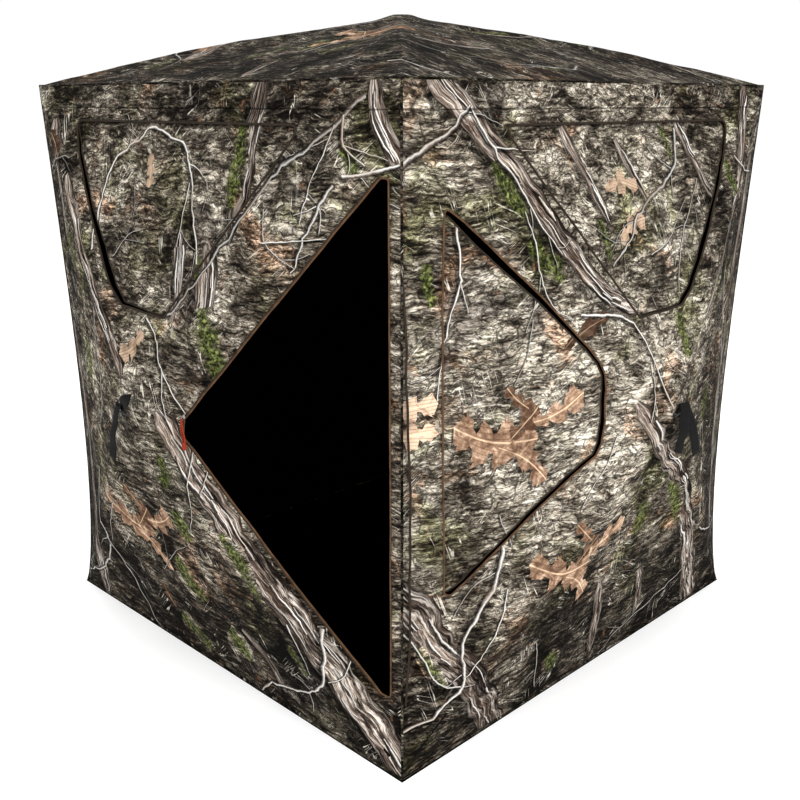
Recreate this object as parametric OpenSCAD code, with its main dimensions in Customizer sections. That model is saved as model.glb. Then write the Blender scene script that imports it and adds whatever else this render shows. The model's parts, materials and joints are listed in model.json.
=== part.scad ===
// Pop-up ground blind: a square fabric shelter whose four walls and roof are
// shallow fabric pyramids, each held out by a hub with four spring poles.
// Millimetres, +Z up, origin on the ground under the centre of the footprint.
// The front wall (door) faces -Y and the right wall (side window) faces +X.

/* [Shelter] */
// Side of the square footprint
side = 1500; // [1400:10:1600]
// Height of the eave line
eave_h = 1590; // [1500:10:1650]
// Height of the wall hubs above the ground
hub_h = 800; // [780:5:830]
// How far a wall hub stands out of its wall plane
wall_pop = 220; // [200:5:240]
// How far the roof hub stands above the eave line
roof_pop = 190; // [170:5:205]
// Thickness of the fabric panels
skin_t = 1.5; // [1:0.1:2]
// Radius of the cord sewn along every edge of the shelter
cord_r = 3; // [2:0.5:4]

/* [Poles and hubs] */
// Radius of a spring pole
pole_r = 4.5; // [4:0.25:5.5]
// Gap from a pole tip to its corner
tip_gap = 60; // [56:1:70]
// Distance of each pole pin from the hub centre
pin_at = 30; // [28:1:34]
// Radius of the pins that hold the poles in a hub
pin_r = 3; // [2.5:0.25:3.5]
// Radial running clearance of the pins
pin_clear = 0.06; // [0.04:0.01:0.09]
// Radius of the hub disc
hub_r = 52; // [48:1:56]
// Thickness of the hub disc
hub_t = 26; // [24:1:30]

/* [Door] */
// Distance of the straight door edge from the seam
door_v1 = 28; // [24:1:36]
// Distance of the door point from the seam
door_v2 = 600; // [560:5:620]
// Half length of the straight door edge
door_half = 610; // [560:5:612]
// Half width of the blunt point of the door
door_tip = 24; // [16:2:30]
// How far the door's point sits below the hub height
door_drop = 16; // [0:2:24]
// Angle at which the door panel stands open
door_open = 65; // [60:1:75]

/* [Windows] */
// Distance of the wide edge of a top window from the eave
win_v1 = 95; // [80:5:110]
// Distance of the narrow edge of a top window from the eave
win_v2 = 565; // [540:5:580]
// Half width of a top window at its wide edge
win_half1 = 480; // [450:5:500]
// Half width of a top window at its narrow edge
win_half2 = 92; // [80:2:110]
// Distance of the long edge of the side window from the seam
sw_v1 = 97; // [90:1:105]
// Distance of the short edge of the side window from the seam
sw_v2 = 543; // [500:1:545]
// Height of the middle of the side window's long edge above the hub height
sw_up = 88; // [80:2:100]
// Height of the middle of the side window's short edge above the hub height
sw_up2 = 45; // [30:5:60]
// Half length of the side window's long edge
sw_half1 = 448; // [400:2:450]
// Half length of the side window's short edge
sw_half2 = 110; // [90:2:114]
// How far each cover reaches past its opening
lap = 12; // [8:1:16]

/* [Straps and zip] */
// Length of a hub pull strap
strap_l = 150; // [120:5:160]
// Width of the webbing
strap_w = 26; // [20:1:30]
// Length of the zip pull cord
pull_l = 78; // [50:1:90]

/* [Hidden] */

$fn = 48;
half = side / 2;
base_z = cord_r;            // the bottom edge cords rest on the ground
boot_r = 30;                // moulded boots inside the eight corners
edge_gap = 5;               // panels start this far from the edge axis
ridge_gap = 3;              // half the gap between panels at mid travel
corner_cut = 38;            // panels keep this far from a corner
hub_gap = 68;               // panels keep this far from the hub axis, flat
pin_drop = 20;              // pins sit this far inside the fabric crown
tip_drop = 14;              // pole tips sit this far inside the edge plane
slot_w = 14.4;              // pole slots in the hub
slit = 0.3;                 // half the joint between sewn strips
cover_z = -7;               // covers sit this far inside the fabric face
hinge_r = 2.5;              // sewn hinge cord of a cover

FRONT = 0; RIGHT = 1; BACK = 2; LEFT = 3; ROOF = 4;
// panel index inside one pyramid, counted anticlockwise seen from outside
P_BOTTOM = 0; P_RIGHT = 1; P_TOP = 2; P_LEFT = 3;
// pole index inside one pyramid
UR = 0; UL = 1; LL = 2; LR = 3;

function pop(w) = w == ROOF ? roof_pop : wall_pop;
// distance from the hub's foot to the pyramid edge k
function reach(w, k) = w == ROOF ? half : [hub_h - base_z, half, eave_h - hub_h, half][k];
// half lengths of edge k to each side of the hub's foot
function len_neg(w, k) = reach(w, (k + 3) % 4);
function len_pos(w, k) = reach(w, (k + 1) % 4);
function tilt(w, k) = atan(pop(w) / reach(w, k));
function corner(w, c) = [(c == UR || c == LR ? 1 : -1) * half,
                         c == UR || c == UL ? reach(w, P_TOP) : -reach(w, P_BOTTOM)];
function pole_az(w, c) = atan2(corner(w, c)[1], corner(w, c)[0]);
function pole_run(w, c) = norm(corner(w, c)) - pin_at;
function pole_rise(w) = pop(w) - pin_drop + tip_drop;
function pole_dip(w, c) = atan(pole_rise(w) / pole_run(w, c));
function pole_len(w, c) = norm([pole_run(w, c), pole_rise(w)]) - tip_gap;

// [near edge, far edge, centre near, half length near, half length far, centre far]
WINDOW = [win_v1, win_v2, 0, win_half1, win_half2, 0];
SIDE_WINDOW = [sw_v1, sw_v2, -sw_up, sw_half1, sw_half2, -sw_up2];
DOOR = [door_v1, door_v2, 0, door_half, door_tip, -door_drop];
// slant of an opening's two long sides, s = -1 or 1: length shed per unit of distance
function slant(hole, s) = (hole[3] - hole[4] + s * (hole[2] - hole[5])) / (hole[1] - hole[0]);

// frame of one pyramid: x right and y up seen from outside, z out of the wall
module on(w) {
    if (w == ROOF) translate([0, 0, eave_h]) children();
    else rotate([0, 0, 90 * w]) translate([0, -half, hub_h]) rotate([90, 0, 0]) children();
}

// frame of one panel: x along the outer edge, y up the panel, z out of its face
module panel_frame(w, k) {
    on(w) rotate([0, 0, 90 * k]) translate([0, -reach(w, k), 0]) rotate([tilt(w, k), 0, 0]) children();
}

// u of the sloping panel side at height v
function side_u(L, d, v) = L * (1 - v / d) - ridge_gap * norm([L, d]) / d;
function cut_v(L, d) = corner_cut * d / norm([L, d]);

module panel_outline(w, k) {
    d = reach(w, k);
    a = len_neg(w, k);
    b = len_pos(w, k);
    top = d - hub_gap;
    polygon([
        [-a + corner_cut, edge_gap], [b - corner_cut, edge_gap],
        [side_u(b, d, cut_v(b, d)), cut_v(b, d)], [side_u(b, d, top), top],
        [-side_u(a, d, top), top], [-side_u(a, d, cut_v(a, d)), cut_v(a, d)]]);
}

module sheet(z, t) { translate([0, 0, z]) linear_extrude(t) children(); }

// a whole panel, or a panel sewn from four strips around an opening
module panel(w, k, hole = []) {
    color("darkolivegreen") panel_frame(w, k)
        if (len(hole) == 0) sheet(-skin_t, skin_t) panel_outline(w, k);
        else {
            v1 = hole[0]; v2 = hole[1]; c = hole[2]; h1 = hole[3]; h2 = hole[4]; c2 = hole[5];
            far = 2 * side;
            sheet(-skin_t, skin_t) intersection() {
                panel_outline(w, k);
                translate([-far, 0]) square([2 * far, v1 - slit]);
            }
            sheet(-skin_t, skin_t) intersection() {
                panel_outline(w, k);
                translate([-far, v2 + slit]) square([2 * far, far]);
            }
            for (s = [-1, 1]) sheet(-skin_t, skin_t) intersection() {
                panel_outline(w, k);
                polygon([[c + s * h1, v1 + slit], [s * far, v1 + slit],
                         [s * far, v2 - slit], [c2 + s * (h2 + slit), v2 - slit]]);
            }
        }
}

// a cover, hinged along its far edge (or near edge) on a sewn cord
module cover(hole, at_far) {
    v1 = hole[0] - lap; v2 = hole[1] + lap;
    lo1 = hole[2] - hole[3] - lap; lo2 = lo1 + slant(hole, -1) * (v2 - v1);
    hi1 = hole[2] + hole[3] + lap; hi2 = hi1 - slant(hole, 1) * (v2 - v1);
    hv = at_far ? v2 : v1;
    lo = at_far ? lo2 : lo1;
    hi = at_far ? hi2 : hi1;
    sheet(cover_z - skin_t / 2, skin_t) polygon([[lo1, v1], [hi1, v1], [hi2, v2], [lo2, v2]]);
    translate([lo + 4, hv, cover_z]) rotate([0, 90, 0]) cylinder(r = hinge_r, h = hi - lo - 8);
}

module window_cover(w) { color("olivedrab") panel_frame(w, P_TOP) cover(WINDOW, true); }

// hub disc with four pole slots, pin bores and a clamping cap; the wall hubs carry a strap bar
module hub(w) {
    p = pop(w);
    z0 = p - pin_drop - hub_t / 2;
    color([0.1, 0.1, 0.11]) on(w) difference() {
        union() {
            rotate_extrude() polygon([
                [0, z0 - 5], [9, z0 - 5], [12, z0], [hub_r - 3, z0], [hub_r, z0 + 3],
                [hub_r, z0 + hub_t - 3], [hub_r - 3, z0 + hub_t], [7, z0 + hub_t],
                [7, p + 0.5], [26, p + 0.5], [27, p + 1.5], [26, p + 3.5], [0, p + 3.5]]);
            if (w != ROOF) {
                for (s = [-1, 1]) translate([s * (strap_w / 2 + 5), 0, p + 3]) cylinder(r = 3, h = 13.5);
                translate([-strap_w / 2 - 5, 0, p + 14]) rotate([0, 90, 0]) cylinder(r = 2, h = strap_w + 10);
            }
        }
        for (c = [UR, UL, LL, LR]) rotate([0, 0, pole_az(w, c)]) {
            translate([18, -slot_w / 2, z0 - 1]) cube([hub_r, slot_w, hub_t + 2]);
            translate([pin_at, -15.6, p - pin_drop]) rotate([-90, 0, 0]) cylinder(r = pin_r + pin_clear, h = 31.2);
        }
    }
}

// spring pole: moulded knuckle with its cross pin, rod and ball tip
module pole(w, c) {
    L = pole_len(w, c);
    color([0.16, 0.16, 0.15]) on(w) rotate([0, 0, pole_az(w, c)])
        translate([pin_at, 0, pop(w) - pin_drop]) rotate([0, pole_dip(w, c), 0]) {
            translate([0, -15.2, 0]) rotate([-90, 0, 0]) cylinder(r = pin_r, h = 30.4);
            translate([0, -6.7, 0]) rotate([-90, 0, 0]) cylinder(r = 6.5, h = 13.4);
            rotate([0, 90, 0]) {
                cylinder(r = 6.5, h = 40);
                cylinder(r = pole_r, h = L - 6);
                translate([0, 0, L - 24]) cylinder(r = 5.5, h = 18);
            }
            translate([L - 6, 0, 0]) sphere(r = 6);
        }
}

// webbing pull strap, looped round the bar of its hub
module strap(w) {
    color([0.06, 0.06, 0.06]) on(w) translate([0, 0, pop(w) + 14]) rotate([-13, 0, 0]) difference() {
        union() {
            translate([-strap_w / 2, 0, 0]) rotate([0, 90, 0]) cylinder(r = 4.2, h = strap_w);
            translate([-strap_w / 2, -strap_l, -1.5]) cube([strap_w, strap_l - 3, 3]);
        }
        translate([-strap_w / 2 - 1, 0, 0]) rotate([0, 90, 0]) cylinder(r = 2.06, h = strap_w + 2);
    }
}

// moulded boot filling the inside of each corner, dished for the pole tips
module corner_boots() {
    color([0.12, 0.12, 0.12]) for (x = [-1, 1], y = [-1, 1], z = [0, 1])
        translate([x * half, y * half, z ? eave_h : base_z]) intersection() {
            sphere(r = boot_r);
            translate([x > 0 ? -40 : 0, y > 0 ? -40 : 0, z ? -40 : -base_z]) cube([40, 40, 40 + (z ? 0 : base_z)]);
        }
}

// cords sewn into the twelve edges; the fabric panels turn about them
module edge_cords() {
    n = boot_r - 12;
    color([0.2, 0.19, 0.14]) {
        for (z = [base_z, eave_h], q = [0:3]) rotate([0, 0, 90 * q])
            translate([-half + n, -half, z]) rotate([0, 90, 0]) cylinder(r = cord_r, h = side - 2 * n);
        for (q = [0:3]) rotate([0, 0, 90 * q])
            translate([half, -half, base_z + n]) cylinder(r = cord_r, h = eave_h - base_z - 2 * n);
    }
}

// reinforced ground tabs with a grommet hole for a stake, inside each bottom corner
module stake_tabs() {
    color([0.1, 0.1, 0.1]) for (q = [0:3]) rotate([0, 0, 90 * q]) difference() {
        union() {
            translate([half - 78, -half + 24, 0]) cube([54, 54, 2.4]);
            translate([half - 50, -half + 50, 0]) cylinder(r = 13, h = 4);
        }
        translate([half - 50, -half + 50, -1]) cylinder(r = 6, h = 6);
    }
}

module front_hub() { hub(FRONT); }
module right_hub() { hub(RIGHT); }
module back_hub() { hub(BACK); }
module left_hub() { hub(LEFT); }
module roof_hub() { hub(ROOF); }

module front_pole_upper_right() { pole(FRONT, UR); }
module front_pole_upper_left() { pole(FRONT, UL); }
module front_pole_lower_left() { pole(FRONT, LL); }
module front_pole_lower_right() { pole(FRONT, LR); }
module right_pole_upper_right() { pole(RIGHT, UR); }
module right_pole_upper_left() { pole(RIGHT, UL); }
module right_pole_lower_left() { pole(RIGHT, LL); }
module right_pole_lower_right() { pole(RIGHT, LR); }
module back_pole_upper_right() { pole(BACK, UR); }
module back_pole_upper_left() { pole(BACK, UL); }
module back_pole_lower_left() { pole(BACK, LL); }
module back_pole_lower_right() { pole(BACK, LR); }
module left_pole_upper_right() { pole(LEFT, UR); }
module left_pole_upper_left() { pole(LEFT, UL); }
module left_pole_lower_left() { pole(LEFT, LL); }
module left_pole_lower_right() { pole(LEFT, LR); }
module roof_pole_back_right() { pole(ROOF, UR); }
module roof_pole_back_left() { pole(ROOF, UL); }
module roof_pole_front_left() { pole(ROOF, LL); }
module roof_pole_front_right() { pole(ROOF, LR); }

module front_gore_bottom() { panel(FRONT, P_BOTTOM); }
module front_gore_right() { panel(FRONT, P_RIGHT, DOOR); }
module front_gore_top() { panel(FRONT, P_TOP, WINDOW); }
module front_gore_left() { panel(FRONT, P_LEFT); }
module right_gore_bottom() { panel(RIGHT, P_BOTTOM); }
module right_gore_right() { panel(RIGHT, P_RIGHT); }
module right_gore_top() { panel(RIGHT, P_TOP, WINDOW); }
module right_gore_left() { panel(RIGHT, P_LEFT, SIDE_WINDOW); }
module back_gore_bottom() { panel(BACK, P_BOTTOM); }
module back_gore_right() { panel(BACK, P_RIGHT); }
module back_gore_top() { panel(BACK, P_TOP, WINDOW); }
module back_gore_left() { panel(BACK, P_LEFT); }
module left_gore_bottom() { panel(LEFT, P_BOTTOM); }
module left_gore_right() { panel(LEFT, P_RIGHT); }
module left_gore_top() { panel(LEFT, P_TOP, WINDOW); }
module left_gore_left() { panel(LEFT, P_LEFT); }
module roof_gore_front() { panel(ROOF, P_BOTTOM); }
module roof_gore_right() { panel(ROOF, P_RIGHT); }
module roof_gore_back() { panel(ROOF, P_TOP); }
module roof_gore_left() { panel(ROOF, P_LEFT); }

module front_window_cover() { window_cover(FRONT); }
module right_window_cover() { window_cover(RIGHT); }
module back_window_cover() { window_cover(BACK); }
module left_window_cover() { window_cover(LEFT); }
module side_window_cover() { color("olivedrab") panel_frame(RIGHT, P_LEFT) cover(SIDE_WINDOW, false); }

// door panel, standing open on the hinge cord beside the seam
module door_panel() {
    m = 10;
    up = slant(DOOR, 1);
    dn = slant(DOOR, -1);
    hi = door_half + m * norm([1, up]);
    lo = -door_half - m * norm([1, dn]);
    depth = door_v2 - door_v1 + 6 + m;
    color([0.2, 0.22, 0.14]) panel_frame(FRONT, P_RIGHT)
        translate([0, door_v1 - 6, cover_z]) rotate([-door_open, 0, 0]) {
            sheet(-skin_t / 2, skin_t) polygon([[lo, 0], [hi, 0], [hi - up * depth, depth], [lo + dn * depth, depth]]);
            translate([lo + 14, 0, 0]) rotate([0, 90, 0]) cylinder(r = hinge_r, h = hi - lo - 28);
        }
}

// zip tape round the door opening
module door_zip_tape() {
    c = -door_drop;
    color([0.3, 0.2, 0.12]) panel_frame(FRONT, P_RIGHT) sheet(0.4, 1.4) difference() {
        polygon([[-door_half - 14, door_v1 - 8], [door_half + 14, door_v1 - 8],
                 [c + door_tip + 8, door_v2 + 12], [c - door_tip - 8, door_v2 + 12]]);
        polygon([[-door_half + 10, door_v1 + 4], [door_half - 10, door_v1 + 4],
                 [c + door_tip - 2, door_v2 - 8], [c - door_tip + 2, door_v2 - 8]]);
    }
}

// zip slider with its pull, at the point of the door
module zip_slider() {
    color([0.75, 0.05, 0.05]) panel_frame(FRONT, P_RIGHT)
        translate([door_tip - door_drop - 2, door_v2 + 6, 2.2]) {
            rotate([0, 0, -atan(1 / slant(DOOR, 1))]) translate([-11, -7, 0]) {
                cube([22, 14, 5]);
                translate([4, 5, 5]) cube([14, 4, 3]);
            }
            translate([-6 - pull_l, -4, 5.5]) cube([pull_l + 3, 9, 2.5]);
            translate([-6 - pull_l, 0.5, 5.5]) cylinder(r = 8, h = 3);
        }
}

module front_pull_strap() { strap(FRONT); }
module right_pull_strap() { strap(RIGHT); }
module back_pull_strap() { strap(BACK); }
module left_pull_strap() { strap(LEFT); }

corner_boots();
edge_cords();
stake_tabs();
front_hub();
right_hub();
back_hub();
left_hub();
roof_hub();
front_pole_upper_right();
front_pole_upper_left();
front_pole_lower_left();
front_pole_lower_right();
right_pole_upper_right();
right_pole_upper_left();
right_pole_lower_left();
right_pole_lower_right();
back_pole_upper_right();
back_pole_upper_left();
back_pole_lower_left();
back_pole_lower_right();
left_pole_upper_right();
left_pole_upper_left();
left_pole_lower_left();
left_pole_lower_right();
roof_pole_back_right();
roof_pole_back_left();
roof_pole_front_left();
roof_pole_front_right();
front_gore_bottom();
front_gore_right();
front_gore_top();
front_gore_left();
right_gore_bottom();
right_gore_right();
right_gore_top();
right_gore_left();
back_gore_bottom();
back_gore_right();
back_gore_top();
back_gore_left();
left_gore_bottom();
left_gore_right();
left_gore_top();
left_gore_left();
roof_gore_front();
roof_gore_right();
roof_gore_back();
roof_gore_left();
front_window_cover();
right_window_cover();
back_window_cover();
left_window_cover();
side_window_cover();
door_panel();
door_zip_tape();
zip_slider();
front_pull_strap();
right_pull_strap();
back_pull_strap();
left_pull_strap();
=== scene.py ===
import json
import math
import random

import bpy
import numpy as np
from mathutils import Matrix, Vector, noise
from mathutils.geometry import delaunay_2d_cdt


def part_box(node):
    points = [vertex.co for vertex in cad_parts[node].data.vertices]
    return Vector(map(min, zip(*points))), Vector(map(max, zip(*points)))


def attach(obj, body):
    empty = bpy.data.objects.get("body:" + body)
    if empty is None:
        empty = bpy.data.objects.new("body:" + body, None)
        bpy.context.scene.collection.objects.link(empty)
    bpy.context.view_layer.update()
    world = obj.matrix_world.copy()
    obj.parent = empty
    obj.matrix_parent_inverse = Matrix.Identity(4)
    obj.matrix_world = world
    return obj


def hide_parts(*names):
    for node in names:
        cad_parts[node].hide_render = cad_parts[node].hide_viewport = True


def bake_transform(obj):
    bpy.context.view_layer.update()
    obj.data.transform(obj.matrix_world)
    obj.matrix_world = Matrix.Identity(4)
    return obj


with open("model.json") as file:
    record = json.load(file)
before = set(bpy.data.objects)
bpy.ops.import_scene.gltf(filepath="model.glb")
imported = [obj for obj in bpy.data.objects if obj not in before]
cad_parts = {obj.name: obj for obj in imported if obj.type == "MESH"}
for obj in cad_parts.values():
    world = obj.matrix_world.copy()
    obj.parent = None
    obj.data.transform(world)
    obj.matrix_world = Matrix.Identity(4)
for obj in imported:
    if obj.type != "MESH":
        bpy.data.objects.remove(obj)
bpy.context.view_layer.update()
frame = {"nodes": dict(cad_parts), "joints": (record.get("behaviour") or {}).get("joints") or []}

JOINT = {j["name"]: j for j in frame["joints"]}
WALLS = ["front", "right", "back", "left", "roof"]

# ---------------------------------------------------------------- dimensions, all from the frame
lo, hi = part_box("edge_cords")
CORD = 0.003
HALF = hi.x - CORD
BASE = lo.z + CORD
EAVE = hi.z - CORD
lo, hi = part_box("front_hub")
HUB_Z = (lo.z + hi.z) / 2
POP = {w: -JOINT[f"{w}_hub_pop"]["range_m"][0] / 2 for w in WALLS}


def ring(mesh_w):
    """Origin, right, up and outward directions of one wall's plane."""
    if mesh_w == "roof":
        return Vector((0, 0, EAVE)), Vector((1, 0, 0)), Vector((0, 1, 0)), Vector((0, 0, 1))
    a = math.radians(90 * WALLS.index(mesh_w))
    c, s = math.cos(a), math.sin(a)
    return (Vector((HALF * s, -HALF * c, HUB_Z)), Vector((c, s, 0)), Vector((0, 0, 1)), Vector((s, -c, 0)))


def reach(w, k):
    return HALF if w == "roof" else (HUB_Z - BASE, HALF, EAVE - HUB_Z, HALF)[k]


def flat(w, k, u, v):
    """Wall-plane x, y of a point on panel k: u along its outer edge, v up the tilted panel."""
    c = math.cos(math.atan2(POP[w], reach(w, k)))
    v = v * c
    return ((u, -reach(w, 0) + v), (HALF - v, u), (-u, reach(w, 2) - v), (-HALF + v, -u))[k]


SEAM_BOW = 0.040


def seam_bow(z):
    t = min(1.0, max(0.0, z / EAVE))
    return SEAM_BOW * math.sin(math.pi * t ** 0.62)


WRINKLE_SEED = {"front": 3.1, "right": 17.7, "back": 31.9, "left": 47.3, "roof": 61.5}


def height(w, x, y):
    """Outward height of the cloth over the wall plane, without the seam bow."""
    p = POP[w]
    fx = abs(x) / HALF
    fy = y / reach(w, 2) if y > 0 else -y / reach(w, 0)
    r = max(fx, fy)
    q = min(fx, fy) / max(r, 1e-6)
    n = p * (1 - r) + (0.021 if w == "roof" else 0.013) * 4 * r * (1 - r) * (0.2 + 0.8 * q ** 3)
    # soft ridges
    n -= 0.005 * math.exp(-((1 - q) * r / 0.02) ** 2) * min(1, r * 6) * (1 - r)
    d = math.hypot(x, y)
    calm = 1 - math.exp(-(d / 0.075) ** 2)
    # slack folds: broad sag between the poles, and finer creases
    s = WRINKLE_SEED[w]
    edge = min(1.0, (1 - r) * 9) * calm
    v = noise.fractal(Vector((x * 3.2, y * 3.2, s)), 0.9, 2.1, 3)
    f = noise.fractal(Vector((x * 13, y * 7, s + 9)), 0.8, 2.2, 3)
    n += edge * (0.0035 * v + 0.0016 * f)
    # tension folds running out from the hub
    a = math.atan2(y, x)
    n += 0.0032 * math.sin(a * 11 + s + 1.5 * v) * math.exp(-((d - 0.16) / 0.13) ** 2) * (1 - q * 0.7)
    # gathers under the eave, where the cloth is eased into the seam
    if w != "roof":
        top = (reach(w, 2) - y)
        n += 0.0022 * math.sin(x * 95 + 3 * v + 2.5 * math.sin(x * 21 + s)) * math.exp(-((top - 0.055) / 0.04) ** 2) * min(1, (1 - fx) * 14)
        low = y + reach(w, 0)
        n += 0.0020 * math.sin(x * 60 + 4 * v + s) * math.exp(-((low - 0.05) / 0.06) ** 2) * min(1, (1 - fx) * 14)
        # turned-over eave band, standing proud of the wall
        n += 0.0022 * min(1.0, max(0.0, (0.0562 - top) / 0.0024))
    # the cloth is drawn smoothly over the hub's clamping cap
    cap = p + 0.0052 - (0.03 + 1.25 * p / 0.8) * max(0.0, d - 0.029)
    k = 0.007
    h = max(k - abs(n - cap), 0.0) / k
    return max(n, cap) + h * h * k * 0.25


def place(w, x, y, off=0.0):
    """3D point of the cloth over wall-plane x, y, and its share of the hub's motion."""
    o, ex, ey, en = ring(w)
    n = height(w, x, y)
    share = min(1.0, max(0.0, n / POP[w]))
    px, pn = x, n + off
    if w != "roof":
        fx = abs(x) / HALF
        m = seam_bow(y + HUB_Z) / math.sqrt(2) * fx ** 3
        px -= math.copysign(m, x)
        pn -= m
    return o + ex * px + ey * y + en * pn, share


# ---------------------------------------------------------------- materials
def new_mat(name):
    m = bpy.data.materials.new(name)
    m.use_nodes = True
    m.node_tree.nodes.clear()
    return m


class Net:
    """Small helper for building node trees."""

    def __init__(self, mat):
        self.t = mat.node_tree

    def n(self, kind, **kw):
        node = self.t.nodes.new(kind)
        for k, v in kw.items():
            if k.startswith("i_"):
                key = k[2:].replace("_", " ")
                node.inputs[int(key) if key.isdigit() else key].default_value = v
            else:
                setattr(node, k, v)
        return node

    def link(self, a, b):
        self.t.links.new(a, b)

    def attr(self, name):
        return self.n("ShaderNodeAttribute", attribute_type="GEOMETRY", attribute_name=name)

    def val(self, x):
        return x

    def math(self, op, a, b=None, c=None, clamp=False):
        m = self.n("ShaderNodeMath", operation=op, use_clamp=clamp)
        for i, v in enumerate((a, b, c)):
            if v is None:
                continue
            if isinstance(v, (int, float)):
                m.inputs[i].default_value = v
            else:
                self.link(v, m.inputs[i])
        return m.outputs[0]

    def vmath(self, op, a, b):
        m = self.n("ShaderNodeVectorMath", operation=op)
        for i, v in enumerate((a, b)):
            if isinstance(v, tuple):
                m.inputs[i].default_value = v
            elif isinstance(v, (int, float)):
                m.inputs["Scale"].default_value = v
            else:
                self.link(v, m.inputs[i])
        return m.outputs[0]

    def noise(self, vec, scale, detail=4, rough=0.6, dist=0.0, out="Fac"):
        m = self.n("ShaderNodeTexNoise")
        m.inputs["Scale"].default_value = scale
        m.inputs["Detail"].default_value = detail
        m.inputs["Roughness"].default_value = rough
        m.inputs["Distortion"].default_value = dist
        self.link(vec, m.inputs["Vector"])
        return m.outputs[out]

    def ramp(self, fac, stops, interp="LINEAR"):
        m = self.n("ShaderNodeValToRGB")
        cr = m.color_ramp
        cr.interpolation = interp
        while len(cr.elements) < len(stops):
            cr.elements.new(0.5)
        for e, (p, c) in zip(cr.elements, stops):
            e.position = p
            e.color = (*c, 1) if len(c) == 3 else (c[0],) * 3 + (1,)
        self.link(fac, m.inputs["Fac"])
        return m.outputs["Color"]

    def mix(self, fac, a, b, mode="MIX"):
        m = self.n("ShaderNodeMix", data_type="RGBA", blend_type=mode)
        for sock, v in ((m.inputs["Factor"], fac), (m.inputs[6], a), (m.inputs[7], b)):
            if isinstance(v, (int, float)):
                sock.default_value = v
            elif isinstance(v, tuple):
                sock.default_value = (*v, 1)
            else:
                self.link(v, sock)
        return m.outputs[2]

    def out(self, color, rough=0.85, bump=None, strength=0.2, dist=0.001, sheen=0.0, spec=0.3, metal=0.0):
        b = self.n("ShaderNodeBsdfPrincipled")
        b.inputs["Metallic"].default_value = metal
        b.inputs["Specular IOR Level"].default_value = spec
        b.inputs["Sheen Weight"].default_value = sheen
        for sock, v in ((b.inputs["Base Color"], color), (b.inputs["Roughness"], rough)):
            if isinstance(v, (int, float)):
                sock.default_value = v
            elif isinstance(v, tuple):
                sock.default_value = (*v, 1)
            else:
                self.link(v, sock)
        if bump is not None:
            bn = self.n("ShaderNodeBump")
            bn.inputs["Strength"].default_value = strength
            bn.inputs["Distance"].default_value = dist
            self.link(bump, bn.inputs["Height"])
            self.link(bn.outputs["Normal"], b.inputs["Normal"])
        o = self.n("ShaderNodeOutputMaterial")
        self.link(b.outputs[0], o.inputs[0])
        return b


def sep(N, vec):
    s = N.n("ShaderNodeSeparateXYZ")
    N.link(vec, s.inputs[0])
    return s.outputs


def comb(N, x, y, z):
    s = N.n("ShaderNodeCombineXYZ")
    for i, v in enumerate((x, y, z)):
        if isinstance(v, (int, float)):
            s.inputs[i].default_value = v
        else:
            N.link(v, s.inputs[i])
    return s.outputs[0]


def scaled(N, vec, x, y, z=1.0):
    return N.vmath("MULTIPLY", vec, (x, y, z))


def line_mask(N, fac, level, width, power=1.0):
    """Thin wandering lines: 1 where the noise passes through level."""
    d = N.math("ABSOLUTE", N.math("SUBTRACT", fac, level))
    return N.math("SUBTRACT", 1.0, N.math("DIVIDE", d, width), clamp=True)


def step_mask(N, fac, level, soft):
    return N.math("MULTIPLY", N.math("SUBTRACT", fac, level), 1.0 / soft, clamp=True)


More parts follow.
